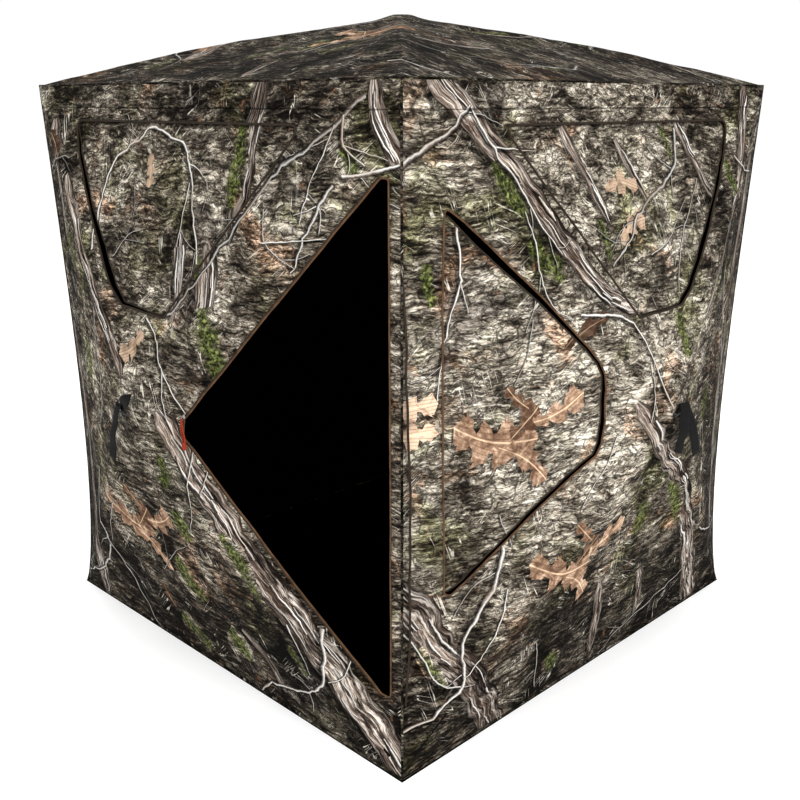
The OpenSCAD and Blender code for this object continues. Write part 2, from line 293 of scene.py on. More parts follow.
def bark_color(N, pat):
    """The ground of the print: pale weathered bark in fine wavy layers, cracked, stained and shadowed."""
    zone = sep(N, N.attr("loc").outputs["Vector"])[0]
    wob = N.vmath("SUBTRACT", N.noise(pat, 6.0, 4, 0.6, 0, "Color"), (0.5, 0.5, 0.5))
    wobs = N.n("ShaderNodeVectorMath", operation="SCALE")
    N.link(wob, wobs.inputs[0])
    wobs.inputs["Scale"].default_value = 0.07
    p = N.vmath("ADD", pat, wobs.outputs[0])
    big = N.noise(pat, 3.2, 3, 0.55, 0.4)
    mid = N.noise(scaled(N, pat, 9, 17), 1.0, 5, 0.62, 0.7)
    fine = N.noise(scaled(N, p, 21, 104), 1.0, 7, 0.70, 0.5)
    tiny = N.noise(scaled(N, p, 90, 210), 1.0, 4, 0.75, 0.3)
    v = N.math("ADD", N.math("MULTIPLY", mid, 0.30), N.math("MULTIPLY", fine, 0.48))
    v = N.math("ADD", v, N.math("MULTIPLY", tiny, 0.22))
    v = N.math("ADD", v, N.math("MULTIPLY", N.math("SUBTRACT", big, 0.5), 0.22))
    v = N.math("SUBTRACT", v, N.math("MULTIPLY", zone, 0.050))
    col = N.ramp(v, [(0.355, (0.010, 0.008, 0.007)), (0.425, (0.040, 0.032, 0.024)), (0.47, (0.120, 0.098, 0.072)),
                     (0.515, (0.250, 0.215, 0.165)), (0.565, (0.440, 0.395, 0.320)), (0.65, (0.700, 0.660, 0.570))])
    # tan and pinkish stains
    rd = step_mask(N, N.noise(N.vmath("ADD", pat, (7.3, 2.1, 0)), 4.5, 5, 0.62, 0.8), 0.57, 0.09)
    col = N.mix(N.math("MULTIPLY", rd, 0.55), col, N.mix(1.0, col, (1.35, 0.80, 0.52), "MULTIPLY"))
    ol = step_mask(N, N.noise(pat, 4.8, 4, 0.6, 0.5), 0.53, 0.12)
    col = N.mix(N.math("MULTIPLY", ol, 0.70), col, N.mix(1.0, col, (0.66, 0.74, 0.40), "MULTIPLY"))
    # deep shade pooled between the layers
    dk = step_mask(N, N.noise(N.vmath("ADD", pat, (1.7, 9.4, 0)), 3.6, 6, 0.66, 1.0), 0.535, 0.10)
    dk = N.math("ADD", N.math("MULTIPLY", dk, 0.62), N.math("MULTIPLY", zone, 0.10), clamp=True)
    col = N.mix(dk, col, N.mix(1.0, col, (0.22, 0.19, 0.20), "MULTIPLY"))
    # thin dark cracks that run with the layers, two sizes
    c1 = line_mask(N, N.noise(scaled(N, p, 13, 58), 1.0, 3, 0.55, 1.0), 0.50, 0.028)
    c2 = line_mask(N, N.noise(scaled(N, N.vmath("ADD", p, (3.1, 4.2, 0)), 30, 120), 1.0, 3, 0.6, 0.8), 0.50, 0.042)
    c3 = line_mask(N, N.noise(scaled(N, N.vmath("ADD", p, (8.1, 1.2, 0)), 22, 26), 1.0, 4, 0.6, 1.4), 0.52, 0.014)
    gate = step_mask(N, N.noise(N.vmath("ADD", pat, (5.5, 5.5, 0)), 7, 3, 0.5), 0.42, 0.12)
    vor = N.n("ShaderNodeTexVoronoi", feature="DISTANCE_TO_EDGE")
    vor.inputs["Scale"].default_value = 1.0
    wv = N.vmath("SUBTRACT", N.noise(pat, 26, 3, 0.6, 0.0, "Color"), (0.5, 0.5, 0.5))
    sc = N.n("ShaderNodeVectorMath", operation="SCALE")
    N.link(wv, sc.inputs[0])
    sc.inputs["Scale"].default_value = 0.050
    N.link(scaled(N, N.vmath("ADD", p, sc.outputs[0]), 17, 46), vor.inputs["Vector"])
    seam_ = N.math("SUBTRACT", 1.0, N.math("MULTIPLY", vor.outputs["Distance"], 13.0), clamp=True)
    cr = N.math("MAXIMUM", N.math("MULTIPLY", c1, 0.92), N.math("MULTIPLY", N.math("MULTIPLY", c2, gate), 0.75))
    cr = N.math("MAXIMUM", cr, N.math("MULTIPLY", seam_, 0.80))
    cr = N.math("MAXIMUM", cr, N.math("MULTIPLY", c3, 0.7))
    cr = N.math("MAXIMUM", cr, N.math("MULTIPLY", strokes(N, pat, 1.15, 4, 44, 0.50, 0.022, 3.7), 0.85))
    cr = N.math("MAXIMUM", cr, N.math("MULTIPLY", strokes(N, pat, 2.25, 5, 52, 0.50, 0.020, 8.3), 0.8))
    col = N.mix(cr, col, (0.018, 0.013, 0.011))
    tw = N.math("MAXIMUM", strokes(N, pat, 1.9, 3, 40, 0.50, 0.012, 13.1), strokes(N, pat, 0.75, 3.5, 46, 0.50, 0.011, 17.9))
    tw = N.math("MAXIMUM", tw, strokes(N, pat, 2.7, 4, 50, 0.50, 0.012, 23.3))
    col = N.mix(N.math("MULTIPLY", tw, 0.8), col, (0.62, 0.58, 0.50))
    rust = step_mask(N, N.noise(N.vmath("ADD", pat, (2.2, 6.6, 0)), 19, 5, 0.7, 1.2), 0.64, 0.03)
    col = N.mix(N.math("MULTIPLY", rust, 0.5), col, (0.34, 0.17, 0.085))
    return col, v


TONE_GAIN, TONE_POWER, TONE_SAT = 2.05, 0.62, 1.0


def finish_cloth(N, col, bump_h, bright=1.0):
    """Tone curve, shade attribute, brushed-weave speckle and bump, shared by every printed cloth."""
    lum = N.n("ShaderNodeRGBToBW")
    N.link(col, lum.inputs[0])
    tone = N.math("MULTIPLY", N.math("POWER", lum.outputs[0], TONE_POWER), TONE_GAIN)
    hs = N.n("ShaderNodeHueSaturation")
    hs.inputs["Saturation"].default_value = TONE_SAT
    N.link(col, hs.inputs["Color"])
    col = hs.outputs[0]
    shd = N.attr("shd").outputs["Fac"]
    geo = N.n("ShaderNodeTexCoord").outputs["Object"]
    speck = N.noise(geo, 900, 2, 0.7)
    k = N.math("MULTIPLY", shd, N.math("ADD", N.math("MULTIPLY", speck, 0.5), 0.75))
    k = N.math("MULTIPLY", N.math("MULTIPLY", k, tone), bright)
    col = N.mix(1.0, col, comb(N, k, k, k), "MULTIPLY")
    weave = N.n("ShaderNodeTexWave", wave_type="BANDS", bands_direction="DIAGONAL")
    weave.inputs["Scale"].default_value = 420
    N.link(geo, weave.inputs["Vector"])
    h = N.math("ADD", N.math("MULTIPLY", weave.outputs["Fac"], 0.35), N.math("MULTIPLY", speck, 0.6))
    if bump_h is not None:
        h = N.math("ADD", h, N.math("MULTIPLY", bump_h, 0.6))
    N.out(col, 0.95, h, 0.25, 0.0006, spec=0.03)


def strokes(N, pat, angle, long_, short, level, width, seed):
    """Thin strokes lying along one direction, broken into lengths."""
    x, y = sep(N, pat)[0:2]
    c, q = math.cos(angle), math.sin(angle)
    u = N.math("ADD", N.math("MULTIPLY", x, c), N.math("MULTIPLY", y, q))
    v = N.math("SUBTRACT", N.math("MULTIPLY", y, c), N.math("MULTIPLY", x, q))
    n1 = N.noise(comb(N, N.math("MULTIPLY", u, long_), N.math("MULTIPLY", v, short), seed), 1.0, 3, 0.5, 0.6)
    g = step_mask(N, N.noise(N.vmath("ADD", pat, (seed, seed * 0.7, 0)), 8, 4, 0.6), 0.575, 0.05)
    return N.math("MULTIPLY", line_mask(N, n1, level, width), g)


def mat_bark():
    m = new_mat("camo_bark")
    N = Net(m)
    pat = N.attr("pat").outputs["Vector"]
    col, v = bark_color(N, pat)
    finish_cloth(N, col, v)
    return m


def mat_trunk():
    m = new_mat("camo_trunk")
    N = Net(m)
    loc = N.attr("loc").outputs["Vector"]
    pat = N.attr("pat").outputs["Vector"]
    s = sep(N, loc)
    wob = N.noise(pat, 9, 3, 0.6)
    acr = N.math("ADD", s[1], N.math("MULTIPLY", N.math("SUBTRACT", wob, 0.5), 0.9))
    q = comb(N, N.math("MULTIPLY", s[0], 11), N.math("MULTIPLY", acr, 4.2), s[2])
    st = N.noise(q, 1.0, 7, 0.66, 0.8)
    fi = N.noise(N.vmath("MULTIPLY", q, (4, 5, 1)), 1.0, 4, 0.7, 0.3)
    v = N.math("ADD", N.math("MULTIPLY", st, 0.72), N.math("MULTIPLY", fi, 0.28))
    col = N.ramp(v, [(0.36, (0.010, 0.008, 0.007)), (0.43, (0.040, 0.030, 0.026)), (0.48, (0.105, 0.080, 0.065)),
                     (0.525, (0.24, 0.19, 0.155)), (0.575, (0.42, 0.37, 0.32)), (0.65, (0.66, 0.62, 0.57))])
    red = N.math("MULTIPLY", N.math("SUBTRACT", N.noise(N.vmath("MULTIPLY", q, (0.5, 0.9, 1)), 1.0, 3, 0.5), 0.52), 7, clamp=True)
    col = N.mix(N.math("MULTIPLY", red, 0.35), col, (0.20, 0.105, 0.06))
    edge = N.math("POWER", N.math("ABSOLUTE", s[1]), 3.0)
    k = N.math("SUBTRACT", 1.0, N.math("MULTIPLY", edge, 0.55), clamp=True)
    col = N.mix(1.0, col, comb(N, k, k, k), "MULTIPLY")
    finish_cloth(N, col, v)
    return m


def mat_branch():
    m = new_mat("camo_branch")
    N = Net(m)
    loc = N.attr("loc").outputs["Vector"]
    s = sep(N, loc)
    geo = N.attr("pat").outputs["Vector"]
    n1 = N.noise(geo, 60, 5, 0.7, 0.4)
    a = N.math("ADD", s[1], N.math("MULTIPLY", N.math("SUBTRACT", n1, 0.5), 1.7))
    f = N.math("MULTIPLY", N.math("ADD", a, 1.0), 0.5)
    col = N.ramp(f, [(0.02, (0.020, 0.017, 0.017)), (0.24, (0.10, 0.085, 0.080)), (0.48, (0.29, 0.27, 0.25)),
                     (0.72, (0.56, 0.54, 0.50)), (0.97, (0.22, 0.20, 0.18))])
    warm = N.math("MULTIPLY", N.math("SUBTRACT", N.noise(geo, 7, 2, 0.5), 0.52), 6, clamp=True)
    col = N.mix(N.math("MULTIPLY", warm, 0.5), col, (0.30, 0.20, 0.13))
    finish_cloth(N, col, n1)
    return m


def mat_leaf():
    m = new_mat("camo_leaf")
    N = Net(m)
    loc = N.attr("loc").outputs["Vector"]
    s = sep(N, loc)
    pat = N.attr("pat").outputs["Vector"]
    n1 = N.noise(pat, 30, 6, 0.72, 1.2)
    base = N.ramp(N.math("ADD", N.math("MULTIPLY", s[2], 0.42), N.math("MULTIPLY", N.math("SUBTRACT", n1, 0.18), 0.80)),
                  [(0.10, (0.05, 0.024, 0.015)), (0.34, (0.15, 0.080, 0.048)), (0.50, (0.32, 0.200, 0.130)),
                   (0.64, (0.55, 0.40, 0.29)), (0.92, (0.40, 0.27, 0.11))])
    mid = N.math("SUBTRACT", 1.0, N.math("MULTIPLY", N.math("ABSOLUTE", s[1]), 16.0), clamp=True)
    side = N.math("SINE", N.math("MULTIPLY", N.math("ADD", s[0], N.math("MULTIPLY", N.math("ABSOLUTE", s[1]), 0.6)), 42.0))
    side = N.math("MULTIPLY", N.math("SUBTRACT", side, 0.72), 3.0, clamp=True)
    col = N.mix(N.math("MULTIPLY", side, 0.55), base, (0.16, 0.07, 0.03))
    col = N.mix(N.math("MULTIPLY", mid, 0.7), col, (0.70, 0.52, 0.34))
    lob = N.math("MULTIPLY", N.math("SUBTRACT", N.noise(pat, 22, 3, 0.5, 0.3), 0.50), 5.0, clamp=True)
    col = N.mix(N.math("MULTIPLY", lob, 0.55), col, (0.10, 0.045, 0.022))
    finish_cloth(N, col, n1)
    return m


def mat_moss():
    m = new_mat("camo_moss")
    N = Net(m)
    pat = N.attr("pat").outputs["Vector"]
    loc = N.attr("loc").outputs["Vector"]
    s = sep(N, loc)
    col, v = bark_color(N, pat)
    n1 = N.noise(pat, 85, 6, 0.75, 0.6)
    grn = N.ramp(n1, [(0.36, (0.010, 0.012, 0.005)), (0.47, (0.040, 0.052, 0.013)), (0.56, (0.150, 0.180, 0.045)), (0.68, (0.33, 0.36, 0.12))])
    fade = N.math("SUBTRACT", 1.0, N.math("POWER", N.math("ABSOLUTE", s[1]), 1.5))
    rag = N.noise(pat, 38, 6, 0.75, 1.0)
    mask = N.math("MULTIPLY", N.math("SUBTRACT", N.math("ADD", N.math("MULTIPLY", fade, 0.42), rag), 0.66), 5, clamp=True)
    mask = N.math("MULTIPLY", mask, 0.85)
    col = N.mix(mask, col, grn)
    finish_cloth(N, col, n1)
    return m


def mat_lining():
    m = new_mat("black_lining")
    N = Net(m)
    geo = N.n("ShaderNodeTexCoord").outputs["Object"]
    n1 = N.noise(geo, 500, 2, 0.6)
    col = N.ramp(n1, [(0.3, (0.0008, 0.0008, 0.0009)), (0.7, (0.0022, 0.0022, 0.0024))])
    N.out(col, 0.95, n1, 0.2, 0.0004, spec=0.02)
    return m


def mat_piping(name, c1, c2, rib=900):
    m = new_mat(name)
    N = Net(m)
    geo = N.n("ShaderNodeTexCoord").outputs["Object"]
    w = N.n("ShaderNodeTexWave", wave_type="BANDS", bands_direction="Z")
    w.inputs["Scale"].default_value = rib / 6.28
    w.inputs["Distortion"].default_value = 1.5
    N.link(geo, w.inputs["Vector"])
    n1 = N.noise(geo, 45, 4, 0.6)
    f = N.math("ADD", N.math("MULTIPLY", w.outputs["Fac"], 0.3), N.math("MULTIPLY", n1, 0.7))
    col = N.ramp(f, [(0.25, c1), (0.7, c2)])
    N.out(col, 0.85, f, 0.4, 0.0005, spec=0.08)
    return m


def mat_webbing(name, dark, light):
    m = new_mat(name)
    N = Net(m)
    geo = N.n("ShaderNodeTexCoord").outputs["Object"]
    wa = N.n("ShaderNodeTexWave", wave_type="BANDS", bands_direction="DIAGONAL")
    wa.inputs["Scale"].default_value = 120
    N.link(geo, wa.inputs["Vector"])
    n1 = N.noise(geo, 260, 3, 0.6)
    f = N.math("ADD", N.math("MULTIPLY", wa.outputs["Fac"], 0.6), N.math("MULTIPLY", n1, 0.4))
    col = N.ramp(f, [(0.2, dark), (0.85, light)])
    N.out(col, 0.85, f, 0.5, 0.0006, spec=0.08)
    return m


def mat_plastic(name, c1, c2, rough=(0.42, 0.6), grain=700, bump=0.12, spec=0.45):
    m = new_mat(name)
    N = Net(m)
    geo = N.n("ShaderNodeTexCoord").outputs["Object"]
    n1 = N.noise(geo, grain, 3, 0.6)
    n2 = N.noise(geo, 18, 4, 0.6)
    col = N.ramp(N.math("ADD", N.math("MULTIPLY", n1, 0.4), N.math("MULTIPLY", n2, 0.6)), [(0.3, c1), (0.7, c2)])
    r = N.math("ADD", N.math("MULTIPLY", n2, rough[1] - rough[0]), rough[0])
    N.out(col, r, n1, bump, 0.0004, spec=spec)
    return m


def mat_metal(name, c):
    m = new_mat(name)
    N = Net(m)
    geo = N.n("ShaderNodeTexCoord").outputs["Object"]
    n1 = N.noise(geo, 300, 4, 0.7)
    col = N.ramp(n1, [(0.3, tuple(x * 0.6 for x in c)), (0.7, c)])
    N.out(col, 0.38, n1, 0.1, 0.0003, metal=0.9, spec=0.5)
    return m


M_BARK, M_TRUNK, M_BRANCH, M_LEAF, M_MOSS = mat_bark(), mat_trunk(), mat_branch(), mat_leaf(), mat_moss()
M_LINE = mat_lining()
M_PIPE = mat_piping("zip_piping", (0.022, 0.012, 0.007), (0.120, 0.066, 0.034))
M_PIPE_DK = mat_piping("cover_piping", (0.006, 0.005, 0.004), (0.034, 0.024, 0.016))
M_PIPE_OR = mat_piping("tan_piping", (0.10, 0.055, 0.03), (0.36, 0.21, 0.12))
M_BIND = mat_piping("edge_binding", (0.018, 0.015, 0.012), (0.13, 0.105, 0.075), 300)
M_WEB = mat_webbing("black_webbing", (0.0015, 0.0015, 0.0015), (0.010, 0.010, 0.0098))
M_RED = mat_webbing("red_cord", (0.06, 0.006, 0.004), (0.40, 0.050, 0.022))
M_HUB = mat_plastic("hub_nylon", (0.010, 0.010, 0.011), (0.032, 0.032, 0.034))
M_POLE = mat_plastic("fibreglass", (0.0015, 0.0015, 0.0015), (0.005, 0.005, 0.0048), (0.80, 0.95), 300, 0.06, 0.03)
M_BOOT = mat_plastic("boot_rubber", (0.008, 0.008, 0.008), (0.022, 0.022, 0.022), (0.65, 0.85), 500, 0.25)
M_STEEL = mat_metal("slider_metal", (0.30, 0.28, 0.25))
CLOTH = [M_BARK, M_TRUNK, M_BRANCH, M_LEAF, M_MOSS, M_LINE, M_PIPE, M_PIPE_DK, M_PIPE_OR]
K_BARK, K_TRUNK, K_BRANCH, K_LEAF, K_MOSS, K_LINE, K_PIPE, K_PIPE_DK, K_PIPE_OR = range(9)
K_SHADE = 20


# ---------------------------------------------------------------- the print
class Feature:
    """One printed shape: an outline, its kind, and a centre line for its own coordinates."""

    def __init__(self, kind, outline, line=None, width=None, tint=0.5, shade=1.0):
        self.kind, self.outline, self.tint, self.shade = kind, outline, tint, shade
        self.line = np.array(line) if line is not None else None
        self.width = width

    def coords(self, pts):
        """(along, across) of points: across runs -1 to 1 over the shape."""
        L = self.line
        a, b = L[:-1], L[1:]
        d = b - a
        ln = np.maximum(np.linalg.norm(d, axis=1), 1e-9)
        cum = np.concatenate([[0], np.cumsum(ln)])
        rel = pts[:, None, :] - a[None]
        t = np.clip((rel * d).sum(2) / ln ** 2, 0, 1)
        near = a[None] + t[..., None] * d
        dist = np.linalg.norm(pts[:, None, :] - near, axis=2)
        i = dist.argmin(1)
        r = np.arange(len(pts))
        side = d[i, 0] * rel[r, i, 1] - d[i, 1] * rel[r, i, 0]
        w = np.interp(cum[i] + t[r, i] * ln[i], cum, self.width)
        return cum[i] + t[r, i] * ln[i], np.clip(np.sign(side) * dist[r, i] / np.maximum(w / 2, 1e-4), -1, 1)


def strip_outline(line, width):
    L = np.array(line)
    t = np.gradient(L, axis=0)
    t /= np.maximum(np.linalg.norm(t, axis=1, keepdims=True), 1e-9)
    nrm = np.stack([-t[:, 1], t[:, 0]], 1)
    w = np.array(width)[:, None] / 2
    left, right = L + nrm * w, L - nrm * w
    return [tuple(p) for p in left] + [tuple(p) for p in right[::-1]]


def curve(pts, step, rng, jit=0.0):
    """A smooth line through given points, with a little wander."""
    P = [Vector(p) for p in pts]
    P = [P[0] * 2 - P[1]] + P + [P[-1] * 2 - P[-2]]
    out = []
    for i in range(1, len(P) - 2):
        p0, p1, p2, p3 = P[i - 1:i + 3]
        n = max(1, round((p2 - p1).length / step))
        for k in range(n):
            t = k / n
            out.append(0.5 * (p1 * 2 + (p2 - p0) * t + (p0 * 2 - p1 * 5 + p2 * 4 - p3) * t * t + (p1 * 3 - p0 - p2 * 3 + p3) * t ** 3))
    out.append(P[-2])
    res, off = [], 0.0
    for i, q in enumerate(out):
        off = off * 0.5 + rng.gauss(0, jit)
        t = (out[min(i + 1, len(out) - 1)] - out[max(i - 1, 0)]).normalized()
        res.append((q.x - t.y * off, q.y + t.x * off))
    return res


def taper(rng, n, w0, w1, rough=0.14):
    return [(w0 + (w1 - w0) * i / max(1, n - 1)) * (1 + rng.uniform(-rough, rough)) for i in range(n)]


def limb(out, rng, pts, w0, w1, pale=1.0, twigs=0, z=2):
    """A bare branch: pale on its lit side, with a dark shadow under it, and side twigs."""
    w0, w1 = w0 * 0.84, w1 * 0.70
    line = curve(pts, max(0.012, min(0.019, w0 * 2.2)), rng, w0 * 0.24)
    wid = taper(rng, len(line), w0, w1, 0.24)
    d = 0.0025 + w0 * 0.32
    out.append((0, Feature(K_SHADE, strip_outline([(p[0] - d, p[1] - d * 0.9) for p in line], [w * 1.15 + 0.002 for w in wid]), shade=0.36)))
    out.append((z, Feature(K_BRANCH, strip_outline(line, wid), line, wid, rng.random(), pale * rng.uniform(0.9, 1.08))))
    for _ in range(twigs):
        i = rng.randrange(1, max(2, len(line) - 1))
        a = math.atan2(line[i][1] - line[i - 1][1], line[i][0] - line[i - 1][0]) + rng.choice([-1, 1]) * rng.uniform(0.4, 1.0)
        ln = rng.uniform(0.05, 0.15)
        x, y = line[i]
        k1 = rng.uniform(-0.3, 0.3)
        p = [(x, y), (x + ln * 0.5 * math.cos(a), y + ln * 0.5 * math.sin(a)), (x + ln * math.cos(a + k1), y + ln * math.sin(a + k1))]
        limb(out, rng, p, min(wid[i] * 0.62, 0.007), 0.0025, pale * 0.9, 1 if rng.random() < 0.3 and ln > 0.1 else 0, z - 0.2)


def trunk(out, rng, pts, w0, w1, tint=0.5, shade=0.9, white=0):
    """A trunk with ragged edges, a shaded side and loose strips of pale bark."""
    line = curve(pts, 0.034, rng, 0.0035)
    wid = taper(rng, len(line), w0, w1, 0.20)
    wid[0] *= 0.45
    wid[-1] *= 0.35
    out.append((-2, Feature(K_SHADE, strip_outline([(p[0] - w0 * 0.22, p[1] - w0 * 0.16) for p in line], [w * 1.08 for w in wid]), shade=0.45)))
    out.append((-1, Feature(K_TRUNK, strip_outline(line, wid), line, wid, tint, shade)))
    n = len(line)
    for _ in range(white):
        i = rng.randrange(0, max(1, n - 3))
        m = rng.randint(2, 5)
        seg = line[i:i + m]
        if len(seg) < 2:
            continue
        o = rng.uniform(-0.38, 0.38)
        tx, ty = seg[-1][0] - seg[0][0], seg[-1][1] - seg[0][1]
        ln = math.hypot(tx, ty)
        sp = [(p[0] - ty / ln * o * wid[i], p[1] + tx / ln * o * wid[i]) for p in seg]
        q = curve(sp, 0.016, rng, 0.0016)
        w = rng.uniform(0.004, 0.011)
        ww = [w * math.sin(math.pi * (k + 0.5) / len(q)) ** 0.5 * rng.uniform(0.7, 1.3) for k in range(len(q))]
        out.append((-0.8, Feature(K_SHADE, strip_outline([(p[0] - 0.003, p[1] - 0.003) for p in q], [v * 1.2 for v in ww]), shade=0.35)))
        out.append((-0.7, Feature(K_BRANCH, strip_outline(q, ww), q, ww, rng.random(), rng.uniform(0.75, 1.2))))


def moss(out, rng, pts, w):
    line = curve(pts, 0.022, rng, 0.003)
    n = len(line)
    wid = [1.7 * w * math.sin(math.pi * (i + 0.7) / (n + 0.4)) ** 0.5 * rng.uniform(0.8, 1.2) for i in range(n)]
    out.append((-0.5, Feature(K_MOSS, strip_outline(line, wid), line, wid, rng.random(), rng.uniform(0.85, 1.15))))


def leaf(out, rng, a, b, fat=0.30, tint=None, bend=0.0, shade=1.0):
    """A dry oak leaf from stalk a to tip b, with deep sinuses and pointed, ragged lobes."""
    A, B = Vector(a), Vector(b)
    d = B - A
    size = d.length
    t, nrm = d / size, Vector((-d.y, d.x)) / size

    def mid(u):
        return A + d * u + nrm * (bend * size * math.sin(math.pi * u))

    lobes = 4 if size > 0.17 else 3
    sides = []
    for side in (1, -1):
        pts = [(0.0, 0.012)]
        for i in range(lobes):
            c = (i + 0.45 + rng.uniform(-0.10, 0.10)) / (lobes + 0.1)
            env = math.sin(math.pi * (0.14 + 0.76 * c)) ** 0.7
            h = fat * 1.06 * env * rng.uniform(0.55, 1.20)
            wd = 0.56 / lobes
            lean = rng.uniform(0.03, 0.09)
            pts += [(c - wd * 0.50, h * 0.46), (c - wd * 0.42 + lean * 0.4, h * 0.78), (c - wd * 0.10 + lean * 0.4, h * 0.80),
                    (c + lean * 1.7, h * 1.10), (c + wd * 0.10 + lean, h * 0.76), (c + wd * 0.36 + lean, h * 0.88), (c + wd * 0.50 + lean * 0.8, h * 0.58)]
            if i < lobes - 1:
                pts.append((c + wd * 0.80 + lean * 0.4, h * rng.uniform(0.16, 0.36)))
        sides.append([(u, side * v) for u, v in pts])
    ring_ = sides[0] + [(1.0, 0.0)] + sides[1][::-1]
    outline = []
    for u, v in ring_:
        q = mid(min(u, 1.04)) + nrm * (v * size) + t * rng.uniform(-0.003, 0.003) + nrm * rng.uniform(-0.003, 0.003)
        outline.append((q.x, q.y))
    line = [tuple(mid(u / 6)) for u in range(7)]
    out.append((0.5, Feature(K_SHADE, [(p[0] - 0.006, p[1] - 0.009) for p in outline], shade=0.30)))
    out.append((1, Feature(K_LEAF, outline, line, [size * fat * 2] * 7, rng.random() if tint is None else tint, shade * rng.uniform(0.88, 1.1))))


def leaf_group(out, rng, x, y, k=1.0, flip=1):
    """The print's repeating motif of curled oak leaves."""
    f = flip
    for a, b, fat, tint, bend in (((0.05, -0.02), (-0.17, 0.035), 0.24, 0.50, 0.10), ((0.02, 0.02), (0.17, 0.075), 0.26, 0.62, -0.10),
                                  ((-0.05, -0.03), (0.08, -0.13), 0.22, 0.55, 0.08), ((0.03, 0.05), (-0.04, 0.115), 0.26, 0.34, 0.05),
                                  ((-0.02, -0.01), (0.05, 0.06), 0.30, 0.25, 0.0)):
        leaf(out, rng, (x + a[0] * k * f, y + a[1] * k), (x + b[0] * k * f, y + b[1] * k), fat, tint + rng.uniform(-0.06, 0.06), bend * f)


def generic_print(rng, x0, x1, y0, y1, dens=1.0):
    """Woodland litter over a rectangle: trunks, moss, leaves and twigs."""
    out = []
    w, h = x1 - x0, y1 - y0
    area = w * h

    def stroke(n, a, ln, wob=0.16):
        x, y = rng.uniform(x0, x1), rng.uniform(y0, y1)
        pts = [(x, y)]
        for _ in range(n):
            a2 = a + rng.uniform(-wob, wob) * 2
            x, y = x + ln / n * math.cos(a2), y + ln / n * math.sin(a2)
            pts.append((x, y))
        return pts

    for _ in range(max(1, round(1.6 * area * dens))):
        trunk(out, rng, stroke(4, rng.choice([1.0, 2.2, 1.4, 1.8]) + rng.uniform(-0.15, 0.15), rng.uniform(0.5, 0.9)), rng.uniform(0.05, 0.09), rng.uniform(0.03, 0.06), rng.random(), rng.uniform(0.7, 1.0), rng.randint(2, 9))
    for _ in range(max(1, round(1.6 * area * dens))):
        trunk(out, rng, stroke(2, rng.uniform(1.2, 2.2), rng.uniform(0.14, 0.24)), 0.034, 0.022, 0.9, 0.9, 1)
    for _ in range(round(6 * area * dens)):
        moss(out, rng, stroke(2, rng.choice([1.2, 1.9]) + rng.uniform(-0.4, 0.4), rng.uniform(0.08, 0.2)), rng.uniform(0.025, 0.05))
    for _ in range(round(1.5 * area * dens)):
        leaf_group(out, rng, rng.uniform(x0, x1), rng.uniform(y0, y1), rng.uniform(0.8, 1.05), rng.choice([-1, 1]))
    for _ in range(round(7 * area * dens)):
        limb(out, rng, stroke(4, rng.uniform(0, 6.28), rng.uniform(0.2, 0.55), 0.22), rng.uniform(0.006, 0.015), 0.004, rng.uniform(0.5, 1.05), rng.randint(0, 3))
    return out


# ---------------------------------------------------------------- mesh building
def inside(poly, pts):
    """Winding-number test, so an outline that laps over itself still fills."""
    x, y = pts[:, 0], pts[:, 1]
    p = np.array(poly)
    q = np.roll(p, -1, axis=0)
    wn = np.zeros(len(pts), int)
    for (x1, y1), (x2, y2) in zip(p, q):
        left = (x2 - x1) * (y - y1) - (x - x1) * (y2 - y1)
        wn += ((y1 <= y) & (y2 > y) & (left > 0)).astype(int)
        wn -= ((y1 > y) & (y2 <= y) & (left < 0)).astype(int)
    return wn != 0


def densify(loop, step, closed=True):
    out = []
    n = len(loop)
    for i in range(n if closed else n - 1):
        a, b = Vector(loop[i]), Vector(loop[(i + 1) % n])
        k = max(1, int(math.ceil((b - a).length / step)))
        out += [tuple(a.lerp(b, j / k)) for j in range(k)]
    if not closed:
        out.append(tuple(loop[-1]))
    return out


